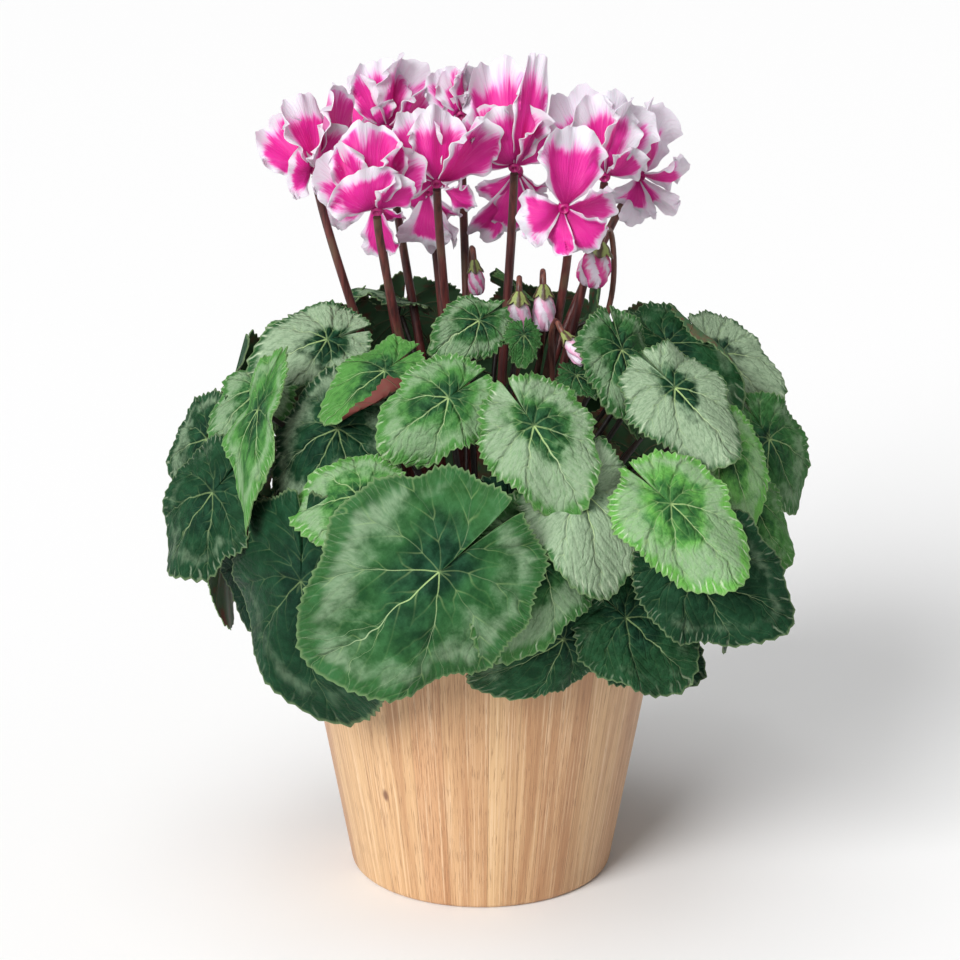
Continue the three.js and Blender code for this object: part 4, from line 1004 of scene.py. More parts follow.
def blade_form(blade, look, seed, settings, roll=None):
    """Points, faces, form coordinates, looks and material slots of one closed blade."""
    silver, green_tone_and_shade, size_beside_solid = look
    rng = np.random.default_rng(seed)
    teeth = int(np.clip(round(blade.length * 4.6 * MM / settings.tooth), 26, 96))
    around = teeth * settings.samples
    rings = settings.rings
    angle = -math.pi + FULL_TURN * np.arange(around) / around
    phase = np.arange(around) / settings.samples
    within = phase - np.floor(phase)
    sizes = (rng.uniform(0.3, 1.0, teeth) ** 1.3 * 1.5)[np.floor(phase).astype(int)]
    tooth = np.where(within < 0.5, within / 0.5, (1 - within) / 0.5) * sizes
    waves = rng.uniform(0, 6, 6)
    # A narrower notch and a sharper point than the solid's.
    heart = heart_reach(angle) * notched(angle, FINE_NOTCH_FROM) / notched(angle, NOTCH_FROM)
    heart = heart * size_beside_solid
    lobes = (0.022 * np.sin(3 * angle + waves[0]) + 0.018 * np.sin(5 * angle + waves[1])
             + 0.018 * np.sin(9 * angle + waves[2]) + 0.17 * np.maximum(np.cos(angle), 0) ** 8
             - 0.09 * np.exp(-((np.abs(angle) - 0.82) / 0.36) ** 2)
             + 0.02 * np.cos(FULL_TURN * angle * 1.4 / VEIN_STEP))
    curl, curl_from = rng.uniform(-0.05, 0.05), rng.uniform(0.5, 2.4) * rng.choice((-1, 1))
    height = settings.tooth_height / MM / blade.length
    margin = heart * (0.975 + lobes) + height * (tooth - 0.4)
    smooth_margin = heart * (0.975 + lobes)
    shares = np.linspace(0, 1, rings + 1)[1:] ** 0.85
    reach, lift = [], []
    for share in shares:
        toothed = smoothstep(share, 0.88, 1.0)
        margin_here = share * (smooth_margin * (1 - toothed) + margin * toothed)
        reach.append(margin_here)
        slow = (np.sin(2 * angle + waves[3]) + 0.9 * np.sin(4 * angle + waves[4])
                + 0.5 * np.sin(7 * angle + waves[5]))
        quick = np.sin(13 * angle + waves[1]) + 0.7 * np.sin(19 * angle + waves[2])
        sector = angle * (1 + VEIN_BEND * margin_here) / VEIN_STEP
        aside = np.abs(sector - np.round(sector)) * margin_here * VEIN_STEP
        pucker = 0.013 * smoothstep(aside, 0.0, 0.1) * (1 - share ** 4)
        rolled = curl * share ** 3 * np.maximum(np.cos(angle - curl_from), 0) ** 2
        lift.append(blade.length * (0.034 * share ** 2 * slow + 0.009 * share ** 5 * quick + pucker + rolled))
    reach, lift = np.concatenate(reach), np.concatenate(lift)
    angles = np.tile(angle, rings)
    middle = np.concatenate([[blade.at], blade.points(reach, angles, lift)])
    form = np.concatenate([[[0, 0]], ring(reach, angles, 0.0)[:, :2]])
    share_of = np.concatenate([[0], np.repeat(shares, around)])
    count = len(middle)
    points = rolled_over(blade, middle, settings.thickness / MM / 2, roll)
    fan = [[0, 1 + k, 1 + (k + 1) % around] for k in range(around)]
    # A ring's points run anticlockwise seen from the upper side, so its quads are turned to face up.
    band = [[a + 1, d + 1, c + 1, b + 1] for a, b, c, d in grid_faces(rings, around, closed=True).tolist()]
    rim = [1 + (rings - 1) * around + k for k in range(around)]
    faces, slots = sheet_faces(fan + band, rim, count)
    # The third number is the blade's length in whole centimetres, with a chance fraction.
    mark = math.floor(blade.length / 10) + rng.uniform(0.1, 0.9)
    looks = looks_of(2 * count, silver, green_tone_and_shade, mark, np.tile(share_of, 2))
    return points, faces, np.tile(form, (2, 1)), looks, slots


def back_leaf_table():
    """The leaves behind, by the rule that places them: trunk, stalk point, point and facing."""
    state = 20.0

    def chance():
        nonlocal state
        state = math.fmod(state * 1103515245.0 + 12345.0, 2147483648.0)
        return state / 2147483648.0 - 0.5

    table = list(BACK_TOP_LEAVES)
    for count, climb_mid, length, first, spread, depth in BACK_TIERS:
        for k in range(count):
            degrees = first + spread * (k + 0.5) / count + 8 * chance()
            turn = math.radians(degrees)
            climb = math.radians(climb_mid + 8 * chance())
            outward = np.array([math.sin(turn), math.cos(turn), 0.0])
            at = outward * (FOLIAGE_RADIUS + depth - 8) * math.cos(climb)
            at[2] = FOLIAGE_MIDDLE + FOLIAGE_HEIGHT * math.sin(climb)
            down = outward * max(0.28, math.sin(climb)) - 0.8 * UP
            down = unit(down + np.array([outward[1], -outward[0], 0.0]) * 0.7 * chance())
            tip = at + down * length * (1 + 0.2 * chance())
            nearest = min(range(4), key=lambda index: abs(TRUNK_TURNS[index] - degrees))
            table.append((nearest, at, tip, None))
    return table


# Where the solids were found: the flowers by name, and the routes of the leaf stalks.
PLACED = {"petioles": [], "back_petioles": [[] for _ in TRUNK_TURNS]}


class CYCLAMEN_OT_front_leaves(bpy.types.Operator):
    """Makes the toothed blades that show from the front and sides"""
    bl_idname = "cyclamen.front_leaves"
    bl_label = "Front leaves"

    def execute(self, context):
        settings = context.scene.cyclamen_leaves
        crown = corner_tree("tuber_and_stalks")
        for k, (name, at, tip, face, breadth, look) in enumerate(LEAVES):
            blade = settled(Blade(at, tip, face, breadth, 1.7 * k), corner_tree(name), name)
            PLACED["petioles"].append(best_route(
                crown, petiole_curves(blade, front_root(blade.at), 0.5), 4, PETIOLE_RADIUS))
            parts = Parts()
            parts.add(*blade_form(blade, look, LEAF_SEED + k, settings, ROLLED.get(name)))
            new_piece(f"{name}_blade", parts.mesh(f"{name}_blade", LEAF_FINISHES), name)
        return {"FINISHED"}


class CYCLAMEN_OT_back_leaves(bpy.types.Operator):
    """Makes the leaves behind, with the short trunks and the stalks that they grow from"""
    bl_idname = "cyclamen.back_leaves"
    bl_label = "Back leaves"

    def execute(self, context):
        settings = context.scene.cyclamen_leaves
        rng = np.random.default_rng(BACK_LOOK_SEED)
        parts = [Parts() for _ in TRUNK_TURNS]
        trees = [corner_tree(f"leaves_back_{k + 1}") for k in range(4)]
        for k, (trunk, at, tip, face) in enumerate(back_leaf_table()):
            blade = settled(Blade(at, tip, face, 1, 2.3 * k), trees[trunk], f"back leaf {k + 1}")
            heart = trunk_foot(trunk) + UP * (TRUNK_LENGTH - 3)
            toward = blade.at - heart
            toward[2] = 0
            root = heart + unit(toward) * TRUNK_RADIUS * 0.4
            PLACED["back_petioles"][trunk].append(best_route(
                trees[trunk], petiole_curves(blade, root, -0.2), 4, PETIOLE_RADIUS))
            look = (rng.uniform(0.1, 0.7), rng.uniform(0.0, 0.5), 1)
            parts[trunk].add(*blade_form(blade, look, BACK_LEAF_SEED + k, settings))
        for k, part in enumerate(parts):
            name = f"leaves_back_{k + 1}"
            new_piece(f"{name}_blades", part.mesh(f"{name}_blades", LEAF_FINISHES), name)
            foot = trunk_foot(k)
            stub = [foot, foot + UP * TRUNK_LENGTH * 0.6, foot + UP * TRUNK_LENGTH]
            paths = [(np.array(stub), TRUNK_RADIUS, TRUNK_RADIUS * 0.8)]
            paths += [(evenly(path, 20), PETIOLE_RADIUS * 1.1, PETIOLE_RADIUS * 0.8)
                      for path in PLACED["back_petioles"][k]]
            mesh = stalk_mesh(f"{name}_stalks", paths, "leaf_stalk_painted_shade", context.scene.cyclamen_stalks.sides)
            new_piece(f"{name}_stalks", mesh, name)
        return {"FINISHED"}


# ---------------------------------------------------------------- stalks

def grown_mesh(name, mesh, tree_name, inputs, build):
    """The plain mesh that a geometry node tree makes from the given one.

    inputs holds the socket type and the value of each of the tree's named inputs, and build adds the
    nodes in between and returns the socket of what they made."""
    holder = bpy.data.objects.new(name, mesh)
    bpy.context.scene.collection.objects.link(holder)
    tree = bpy.data.node_groups.new(tree_name, "GeometryNodeTree")
    tree.interface.new_socket(name="Geometry", in_out="INPUT", socket_type="NodeSocketGeometry")
    tree.interface.new_socket(name="Geometry", in_out="OUTPUT", socket_type="NodeSocketGeometry")
    modifier = holder.modifiers.new(tree_name, "NODES")
    sockets = {label: tree.interface.new_socket(name=label, in_out="INPUT", socket_type=kind).identifier
               for label, (kind, _) in inputs.items()}
    given = tree.nodes.new("NodeGroupInput").outputs
    made = build(lambda kind, links, **settings: add_node(tree, kind, links, **settings), given)
    real = add_node(tree, "GeometryNodeRealizeInstances", {0: made})
    painted = add_node(tree, "GeometryNodeSetMaterial", {0: real.outputs[0], "Material": given["Material"]})
    tree.links.new(painted.outputs[0], tree.nodes.new("NodeGroupOutput").inputs["Geometry"])
    modifier.node_group = tree
    for label, (_, value) in inputs.items():
        modifier[sockets[label]] = value
    depsgraph = bpy.context.evaluated_depsgraph_get()
    result = bpy.data.meshes.new_from_object(holder.evaluated_get(depsgraph), depsgraph=depsgraph)
    result.name = name
    bpy.data.objects.remove(holder)
    return result


def tubes(add, given):
    """Round tubes along the paths, as wide as each point's radius says."""
    radius = add("GeometryNodeInputNamedAttribute", {"Name": "radius"}, data_type="FLOAT")
    curve = add("GeometryNodeMeshToCurve", {"Mesh": given["Geometry"]})
    circle = add("GeometryNodeCurvePrimitiveCircle", {"Resolution": given["Sides"], "Radius": 1.0},
                 mode="RADIUS")
    tube = add("GeometryNodeCurveToMesh", {"Curve": curve.outputs[0], "Profile Curve": circle.outputs[0],
                                           "Scale": radius.outputs[0], "Fill Caps": True})
    return add("GeometryNodeSetShadeSmooth", {0: tube.outputs[0]}).outputs[0]


def stalk_mesh(name, paths, material, sides):
    """Round stalks along (path, radius at the root, radius at the end), in millimetres."""
    points, edges, radii = [], [], []
    for path, low, high in paths:
        first = len(points)
        points.extend((path * MM).tolist())
        radii.extend((low + (high - low) * np.linspace(0, 1, len(path))) * MM)
        edges.extend((first + k, first + k + 1) for k in range(len(path) - 1))
    mesh = bpy.data.meshes.new(name)
    mesh.from_pydata(points, edges, [])
    mesh.attributes.new("radius", "FLOAT", "POINT").data.foreach_set("value", np.array(radii, np.float32))
    return grown_mesh(name, mesh, "Stalks along paths", {
        "Sides": ("NodeSocketInt", sides),
        "Material": ("NodeSocketMaterial", bpy.data.materials[material])}, tubes)


class CYCLAMEN_OT_stalks(bpy.types.Operator):
    """Makes the tuber and the stalks of flowers, buds and front leaves"""
    bl_idname = "cyclamen.stalks"
    bl_label = "Tuber and stalks"

    def execute(self, context):
        sides = context.scene.cyclamen_stalks.sides
        crown = corner_tree("tuber_and_stalks")
        flower_paths = []
        for name, *_ in BLOOMS:
            path = evenly(best_route(crown, stalk_curves(PLACED[name]), 5, STALK_RADIUS), 28)
            flower_paths.append((path, STALK_RADIUS * 1.3, STALK_RADIUS * 1.0))
        bud_paths = [(evenly(bud_stalk_path(bud), 60), BUD_STALK_RADIUS * 1.1, BUD_STALK_RADIUS)
                     for bud in BUDS]
        leaf_paths = [(evenly(path, 22), PETIOLE_RADIUS * 1.15, PETIOLE_RADIUS * 0.85)
                      for path in PLACED["petioles"]]
        for name, paths, finish in (("flower_stalks", flower_paths, "flower_stalk"),
                                    ("bud_stalks", bud_paths, "bud_stalk"),
                                    ("front_leaf_stalks", leaf_paths, "leaf_stalk_painted_shade")):
            new_piece(name, stalk_mesh(name, paths, finish, sides), "tuber_and_stalks")
        new_piece("tuber", self.tuber(), "tuber_and_stalks")
        return {"FINISHED"}

    def tuber(self):
        knots = [(0, TUBER_BOTTOM), (TUBER_RADIUS * 0.55, TUBER_BOTTOM + 1.5),
                 (TUBER_RADIUS * 0.9, TUBER_MIDDLE - 7), (TUBER_RADIUS, TUBER_MIDDLE),
                 (TUBER_RADIUS * 0.93, TUBER_TOP - 6), (TUBER_RADIUS * 0.7, TUBER_TOP - 1.5), (0, TUBER_TOP)]
        path = evenly(through([np.array([radius, height, 0.0]) for radius, height in knots], 10), 28)
        profile = [(max(radius, 0), height) for radius, height, _ in path]
        profile[0], profile[-1] = (0, TUBER_BOTTOM), (0, TUBER_TOP)
        points, faces = revolve(profile, even_turns(72))
        turn, height = np.arctan2(points[:, 1], points[:, 0]), points[:, 2]
        lumps = 1 + 0.02 * np.sin(5 * turn + height * 0.2) + 0.015 * np.sin(11 * turn - height * 0.4)
        points[:, :2] *= np.minimum(lumps, 1.02)[:, None]
        return new_mesh("tuber", points, faces, ["tuber_skin"])


# ---------------------------------------------------------------- blooms

def petal_width(share):
    return 0.1 + 1.75 * share - 1.23 * share ** 3


class Petal:
    """The curved middle line of a petal and its cross directions, as in the solid."""

    def __init__(self, mouth, petal, order):
        tip = vec(petal[:3])
        layer = (1 if order % 2 else -1) * PETAL_LAYER
        start = tip - mouth * np.dot(tip, mouth)
        start *= 0.6 * BLOOM_CORE / np.linalg.norm(start)
        belly = tip * 0.45 + mouth * (0.38 * np.linalg.norm(tip) + layer)
        self.line = (start, belly, tip + mouth * layer)
        self.half = petal[3] * PETAL_BREADTH
        self.side = turned(unit(np.cross(tip, mouth)), unit(tip), PETAL_TWIST)
        self.order = order

    def faces(self, share):
        a, b, c = self.line
        share = share[:, None]
        tangent = 2 * (1 - share) * (b - a) + 2 * share * (c - b)
        face = np.cross(self.side, tangent)
        return face / np.linalg.norm(face, axis=1)[:, None]

    def points(self, column, share, lift=0.0):
        inner = np.clip(column, -1.1, 1.1)
        turned = 1 if self.order % 2 else -1
        ruffle = PETAL_RUFFLE * self.half * share ** 2 * np.cos(math.pi * inner) * turned
        cup = PETAL_CUP * self.half * share * (1 - inner ** 2)
        return (bezier(self.line, share) + (column * self.half * petal_width(share))[:, None] * self.side
                + (ruffle - cup + lift)[:, None] * self.faces(share))


def bloom_place(name, at, mouth, petals):
    """Where the solid flower lies, after it moved back from its first place."""
    tree = corner_tree(name)
    corners = []
    column, share = np.array([-1.0, 1.0]), np.array([1.0, 1.0])
    for order, petal in enumerate(petals):
        shape = Petal(mouth, petal, order)
        corners.extend(shape.points(column, share) + 0.5 * shape.faces(share))
    for step in range(80):
        place = at + step * 2 * SIGHT
        if sum(is_corner(tree, place + corner) for corner in corners) >= 5:
            return place
    raise RuntimeError(f"{name} isn't where its solid is")


def petal_form(shape, place, pale, seed, settings):
    rng = np.random.default_rng(seed)
    rows, columns = settings.rows, settings.columns
    share, column = np.meshgrid(np.linspace(0, 1, rows) ** 0.9, np.linspace(-1, 1, columns), indexing="ij")
    share, column = share.ravel(), column.ravel()
    # The outline is rounded at the tip and finely fringed; the border ruffles.
    rounded = share * (1.02 - 0.28 * np.abs(column) ** 3 * share ** 2)
    fringe = rng.uniform(0, 6, 4)
    frill = (0.012 * np.sin(7 * column + fringe[0]) + 0.007 * np.sin(17 * column + fringe[1])
             + 0.004 * np.sin(29 * column + fringe[2])) * share ** 8
    notches = (0.02 * np.sin(9 * share + fringe[2]) + 0.02 * np.sin(23 * share + fringe[3])
               + 0.012 * np.sin(41 * share + fringe[0])) * np.abs(column) ** 8
    rounded = rounded * (1 + frill)
    broad = 0.16 + 0.94 * np.sin(math.pi / 2 * np.minimum(share / 0.8, 1)) ** 1.1
    spread = column * (broad / petal_width(rounded) + notches * smoothstep(share, 0.2, 0.5))
    border = np.maximum(np.abs(column) ** 3 * smoothstep(share, 0.1, 0.5), 0.5 * share ** 6)
    run = np.where(np.abs(column) > share, share * np.sign(column) * 2.2, column * 1.6 + 0.6)
    phase = rng.uniform(0, 6, 3)
    wave = (np.sin(3.2 * run + phase[0]) * 0.7 + np.sin(7.5 * run + phase[1]) * 0.55
            + np.sin(14 * run + phase[2]) * 0.13 * border)
    folds = (0.08 * np.sin(4.2 * column + 2.5 * share + phase[0])
             + 0.035 * np.sin(8.5 * column + phase[2]))
    lift = shape.half * (0.2 * border * wave + folds * smoothstep(share, 0.1, 0.6))
    middle = place + shape.points(spread, rounded, lift)
    face = shape.faces(rounded)
    half = settings.thickness / MM / 2
    points = np.concatenate([middle + face * half, middle - face * half])
    count = len(middle)
    quads = grid_faces(rows, columns).tolist()
    rim = list(range(columns)) + [row * columns + columns - 1 for row in range(1, rows)]
    rim += [(rows - 1) * columns + k for k in range(columns - 2, -1, -1)]
    rim += [row * columns for row in range(rows - 2, 0, -1)]
    faces, slots = sheet_faces(quads, rim, count)
    form = np.stack([column, share], axis=1)
    looks = looks_of(2 * count, pale + rng.uniform(-0.3, 0.3), rng.uniform(0, 1), 0, 1)
    return points, faces, np.tile(form, (2, 1)), looks, slots


def aimed(points, way):
    """Points about the Z axis turned so that the axis looks the given way."""
    way = unit(way)
    helper = np.array([1.0, 0.0, 0.0]) if abs(way[0]) < 0.8 else np.array([0.0, 1.0, 0.0])
    side = unit(np.cross(helper, way))
    return points @ np.array([side, np.cross(way, side), way])


class CYCLAMEN_OT_blooms(bpy.types.Operator):
    """Makes the twelve flowers with their ruffled petals"""
    bl_idname = "cyclamen.blooms"
    bl_label = "Flowers"

    def execute(self, context):
        settings = context.scene.cyclamen_flowers
        finishes = ("petal_face", "petal_reverse", "flower_throat")
        for k, (name, at, mouth, petals, pale) in enumerate(BLOOMS):
            mouth = unit(vec(mouth))
            place = bloom_place(name, vec(at), mouth, petals)
            PLACED[name] = place
            parts = Parts()
            for order, petal in enumerate(petals):
                shape = Petal(mouth, petal, order)
                parts.add(*petal_form(shape, place, pale, PETAL_SEED + 10 * k + order, settings))
            points, faces = revolve(THROAT, even_turns(20))
            parts.add(aimed(points, mouth) + place, faces, np.zeros((len(points), 2)),
                      looks_of(len(points), pale, 0.5, 0, 1), [2] * len(faces))
            new_piece(f"{name}_petals", parts.mesh(f"{name}_petals", finishes), name)
        return {"FINISHED"}


# ---------------------------------------------------------------- buds

def bud_form(bud, seed):
    """Five petals rolled round each other: every fold steps in over the next and winds to the tip."""
    _, at, hang, length, radius, pink = bud
    rings, sides = 30, 60
    share = np.linspace(0, 1, rings + 2)[1:-1]
    width = np.interp(share, BUD_SHARES, BUD_WIDTHS)
    turn = FULL_TURN * np.arange(sides) / sides
    points, form, fold = [np.zeros(3)], [[0, 0]], [0.5]
    for s, w in zip(share, width):
        angle = turn + 1.1 * s
        place = (angle * 5 / FULL_TURN + 1.4 * s) % 1
        step = 0.84 + 0.16 * smoothstep(place, 0.0, 0.75) * (1 - smoothstep(place, 0.93, 1.0))
        open_end = smoothstep(s, 0.45, 0.95)
        step = step + open_end * (0.12 * np.sin(9 * angle + 7 * s + seed)
                                  + 0.06 * np.sin(15 * angle + 2 * seed))
        ragged = 0.05 * open_end * np.sin(7 * angle + seed) * (1 - s ** 8)
        points.extend(ring(radius * w * step, angle, (s + ragged) * length))
        form.extend(np.stack([turn / FULL_TURN, np.full(sides, s)], axis=1))
        fold.extend(place)
    points.append(np.array([0, 0, length]))
    form.append([0, 1])
    fold.append(0.5)
    faces = capped_faces(rings, sides)
    looks = looks_of(len(fold), pink, seed * 0.13, fold, 1)
    return aimed(np.array(points), vec(hang)) + vec(at), faces, np.array(form, float), looks, [0] * len(faces)


def calyx_form(bud, seed):
    """The calyx on a bud: a cup whose five sepals lie pointed over the bud's shoulders."""
    _, at, hang, length, radius, _ = bud
    hang = unit(vec(hang))
    sides, rings = 50, 12
    turn = FULL_TURN * np.arange(sides) / sides
    sepal = np.abs(((turn * 5 / FULL_TURN) % 1) - 0.5) * 2
    reach = 0.45 + 2.6 * (1 - sepal) ** 0.8
    outside, inside = [], []
    for k in range(rings):
        share = k / (rings - 1)
        down = -CALYX_LENGTH + share * (CALYX_LENGTH + reach)
        wide = BUD_STALK_RADIUS * 0.9 + (radius * CALYX_WIDTH * 1.12 - BUD_STALK_RADIUS * 0.9) * np.sin(
            np.minimum((down + CALYX_LENGTH) / CALYX_LENGTH, 1) * math.pi / 2)
        over = np.maximum(down, 0) / length
        wide = wide + np.interp(over, [0, 0.1, 0.2], [0, 0.23, 0.37]) * radius
        outside.append(ring(wide, turn, down))
        inside.append(ring(wide - CALYX_WALL, turn, down))
    points = np.concatenate(outside + inside[::-1])
    quads = grid_faces(2 * rings, sides, closed=True).tolist()
    quads += [[(2 * rings - 1) * sides + k, (2 * rings - 1) * sides + (k + 1) % sides,
               (k + 1) % sides, k] for k in range(sides)]
    along = np.concatenate([np.linspace(0, 1, rings), np.linspace(1, 0, rings)])
    form = np.stack([np.tile(turn / FULL_TURN, 2 * rings), np.repeat(along, sides)], axis=1)
    rib = np.tile(1 - np.abs(sepal), 2 * rings)
    looks = looks_of(len(rib), 0, seed * 0.17, rib, 1)
    return aimed(points, hang) + vec(at) - hang * 0.5, quads, form, looks, [0] * len(quads)


class CYCLAMEN_OT_buds(bpy.types.Operator):
    """Makes the hanging buds and their calyxes"""
    bl_idname = "cyclamen.buds"
    bl_label = "Buds"

    def execute(self, context):
        calyxes = Parts()
        for k, bud in enumerate(BUDS):
            part = Parts()
            part.add(*bud_form(bud, k + 1))
            new_piece(f"{bud[0]}_petals", part.mesh(f"{bud[0]}_petals", ["bud_petals"]), bud[0])
            calyxes.add(*calyx_form(bud, k + 1))
        new_piece("bud_calyxes", calyxes.mesh("bud_calyxes", ["calyx"]), "tuber_and_stalks")
        return {"FINISHED"}


# ---------------------------------------------------------------- pot, growing pot and soil

def pot_radius(height):
    return POT_BASE_RADIUS + POT_FLARE * height


def rounded_corner(before, corner, after, radius, steps=6):
    """Points of a quarter bend that replaces a corner of a profile."""
    before, corner, after = (np.array(point, float) for point in (before, corner, after))
    first = corner + unit(before - corner) * radius
    last = corner + unit(after - corner) * radius
    return bezier((first, corner, last), np.linspace(0, 1, steps)).tolist()


class CYCLAMEN_OT_wood_pot(bpy.types.Operator):
    """Makes the wooden pot cover, glued from staves"""
    bl_idname = "cyclamen.wood_pot"
    bl_label = "Wooden pot cover"

    def execute(self, context):
        settings = context.scene.cyclamen_pot
        rng = np.random.default_rng(STAVE_SEED)
        seams = list(FRONT_SEAMS)
        usual = math.degrees(settings.stave / MM / pot_radius(POT_HEIGHT))
        while seams[-1] < 360 + seams[0] - 1.4 * usual:
            seams.append(seams[-1] + usual * rng.uniform(0.7, 1.25))
        turns, tones, offsets, sides = [], [], [], []
        for k, seam in enumerate(seams):
            wide = (seams[k + 1] if k + 1 < len(seams) else seams[0] + 360) - seam
            steps = max(4, round(wide / 2.2))
            tone, offset = rng.uniform(0, 1), rng.uniform(0, 1)
            for step in range(steps):
                turns.append(math.radians(seam + wide * step / steps - 90))
                tones.append(tone)
                offsets.append(offset)
                sides.append((step / steps, (step + 1) / steps))
        top, wall = POT_HEIGHT, POT_WALL
        outer = [(pot_radius(0) - 0.5, 0), (pot_radius(top), top)]
        inner = [(pot_radius(top) - wall, top), (pot_radius(POT_FLOOR) - wall, POT_FLOOR)]
        profile = [(0, 0), (30, 0)]
        profile += rounded_corner((0, 0), (pot_radius(0), 0), outer[1], POT_EDGE, 7)
        body = np.linspace(0.05, 0.95, 12)
        profile += [(pot_radius(top * share), top * share) for share in body]
        profile += rounded_corner((pot_radius(0), 0), outer[1], inner[0], POT_LIP, 6)
        profile += rounded_corner(outer[1], inner[0], inner[1], POT_LIP, 6)
        profile += [inner[1], (30, POT_FLOOR), (0, POT_FLOOR)]
        points, faces = revolve(profile, turns)
        mesh = new_mesh("wood_pot_staves", points, faces, ["stave_wood"], sharp=40)
        self.grain(mesh, points, turns, tones, offsets, sides)
        new_piece("wood_pot_staves", mesh, "wood_pot")
        return {"FINISHED"}

    def grain(self, mesh, points, turns, tones, offsets, sides):
        """Gives each face corner its place on the staves, so that every stave has its own grain."""
        count = len(turns)
        forms = np.zeros((len(mesh.loops), 2), np.float32)
        looks = np.ones((len(mesh.loops), 4), np.float32)
        for face in mesh.polygons:
            columns = [(vertex - 1) % count if 0 < vertex < len(points) - 1 else None
                       for vertex in face.vertices]
            known = sorted({column for column in columns if column is not None})
            column = known[-1] if len(known) > 1 and known[-1] - known[0] > 1 else known[0]
            for loop, vertex, own in zip(face.loop_indices, face.vertices, columns):
                x, y, z = points[vertex]
                turn = turns[column] + (0 if own in (column, None) else
                                        (turns[(column + 1) % count] - turns[column]) % FULL_TURN)
                forms[loop] = ((turn + math.pi / 2) * 85, z + 0.4 * (92 - math.hypot(x, y)))
                side = sides[column][0] if own in (column, None) else sides[column][1]
                looks[loop] = (tones[column], offsets[column], side, 1)
        set_layers(mesh, forms, looks, "CORNER")


class CYCLAMEN_OT_grow_pot(bpy.types.Operator):
    """Makes the plastic growing pot"""
    bl_idname = "cyclamen.grow_pot"
    bl_label = "Growing pot"

    def execute(self, context):
        def radius(height):
            return pot_radius(height) - POT_WALL - LINER_PLAY

        outer = [(radius(LINER_FLOOR), LINER_FLOOR), (radius(LINER_TOP), LINER_TOP)]
        inner = [(radius(LINER_TOP) - LINER_WALL, LINER_TOP),
                 (radius(LINER_FLOOR) - LINER_WALL, LINER_FLOOR + LINER_WALL)]
        profile = [(0, LINER_FLOOR), (40, LINER_FLOOR)]
        profile += rounded_corner((0, LINER_FLOOR), outer[0], outer[1], 2.0)
        profile += rounded_corner(outer[0], outer[1], inner[0], 0.6, 4)
        profile += rounded_corner(outer[1], inner[0], inner[1], 0.6, 4)
        profile += [inner[1], (40, LINER_FLOOR + LINER_WALL), (0, LINER_FLOOR + LINER_WALL)]
        points, faces = revolve(profile, even_turns(128))
        mesh = new_mesh("grow_pot_wall", points, faces, ["moulded_plastic"], sharp=35)
        new_piece("grow_pot_wall", mesh, "grow_pot")
        return {"FINISHED"}


class CYCLAMEN_OT_soil(bpy.types.Operator):
    """Makes the soil and the crumbs on its surface"""
    bl_idname = "cyclamen.soil"
    bl_label = "Soil"

    def execute(self, context):
        settings = context.scene.cyclamen_pot
        floor = LINER_FLOOR + LINER_WALL + 0.3

        def radius(height):
            return pot_radius(height) - POT_WALL - LINER_PLAY - LINER_WALL - 0.4

        rim = radius(SOIL_TOP)
        profile = [(0, floor), (radius(floor) * 0.6, floor), (radius(floor), floor), (rim, SOIL_TOP - 1)]
        profile += [(rim * share, SOIL_TOP + SOIL_CROWN * min(1.0, (1 - share) / 0.4))
                    for share in np.linspace(1, 0, 22)[:-1]]
        profile.append((0, SOIL_TOP + SOIL_CROWN))
        points, faces = revolve(profile, even_turns(96))
        turn = np.arctan2(points[:, 1], points[:, 0])
        out = np.hypot(points[:, 0], points[:, 1])
        upper = (points[:, 2] > SOIL_TOP - 0.5) & (out < rim - 1)
        bumps = 0.8 * np.sin(7 * turn + out * 0.3) + 0.7 * np.sin(out * 0.5 + 3 * turn)
        points[:, 2] += np.where(upper, bumps, 0)
        mesh = new_mesh("soil_body", points, faces, ["potting_soil"], sharp=80)
        new_piece("soil_body", mesh, "soil")
        new_piece("soil_crumbs", self.crumbs(points, faces, rim, settings), "soil")
        return {"FINISHED"}

    def crumbs(self, points, faces, rim, settings):
        """Crumbs scattered over the open part of the surface."""
        def open_ground(face):
            middle = points[face].mean(axis=0)
            return middle[2] > SOIL_TOP - 0.5 and TUBER_RADIUS < math.hypot(middle[0], middle[1]) < rim - 3

        ground = bpy.data.meshes.new("soil_crumbs")
        ground.from_pydata((points * MM).tolist(), [], [face for face in faces if open_ground(face)])
        return grown_mesh("soil_crumbs", ground, "Soil crumbs", {
            "Radius": ("NodeSocketFloat", settings.grain_size),
            "Density": ("NodeSocketFloat", settings.crumbs),
            "Material": ("NodeSocketMaterial", bpy.data.materials["potting_soil"])}, scattered_crumbs)


def scattered_crumbs(add, given):
    """Crumbs of many sizes scattered over the soil."""
    scatter = add("GeometryNodeDistributePointsOnFaces", {
        "Mesh": given["Geometry"], "Density": given["Density"], "Seed": CRUMB_SEED},
        distribute_method="RANDOM")
    crumb = add("GeometryNodeMeshIcoSphere", {"Radius": given["Radius"], "Subdivisions": 1})
    spin = add("FunctionNodeRandomValue", {1: (6.28, 6.28, 6.28), "Seed": CRUMB_SEED + 1},
               data_type="FLOAT_VECTOR")
    scale = add("FunctionNodeRandomValue", {
        0: (0.3, 0.3, 0.25), 1: (1.0, 1.0, 0.8), "Seed": CRUMB_SEED + 2}, data_type="FLOAT_VECTOR")
    return add("GeometryNodeInstanceOnPoints", {
        "Points": scatter.outputs["Points"], "Instance": crumb.outputs["Mesh"],
        "Rotation": spin.outputs[0], "Scale": scale.outputs[0]}).outputs[0]


# ---------------------------------------------------------------- finishes and stage

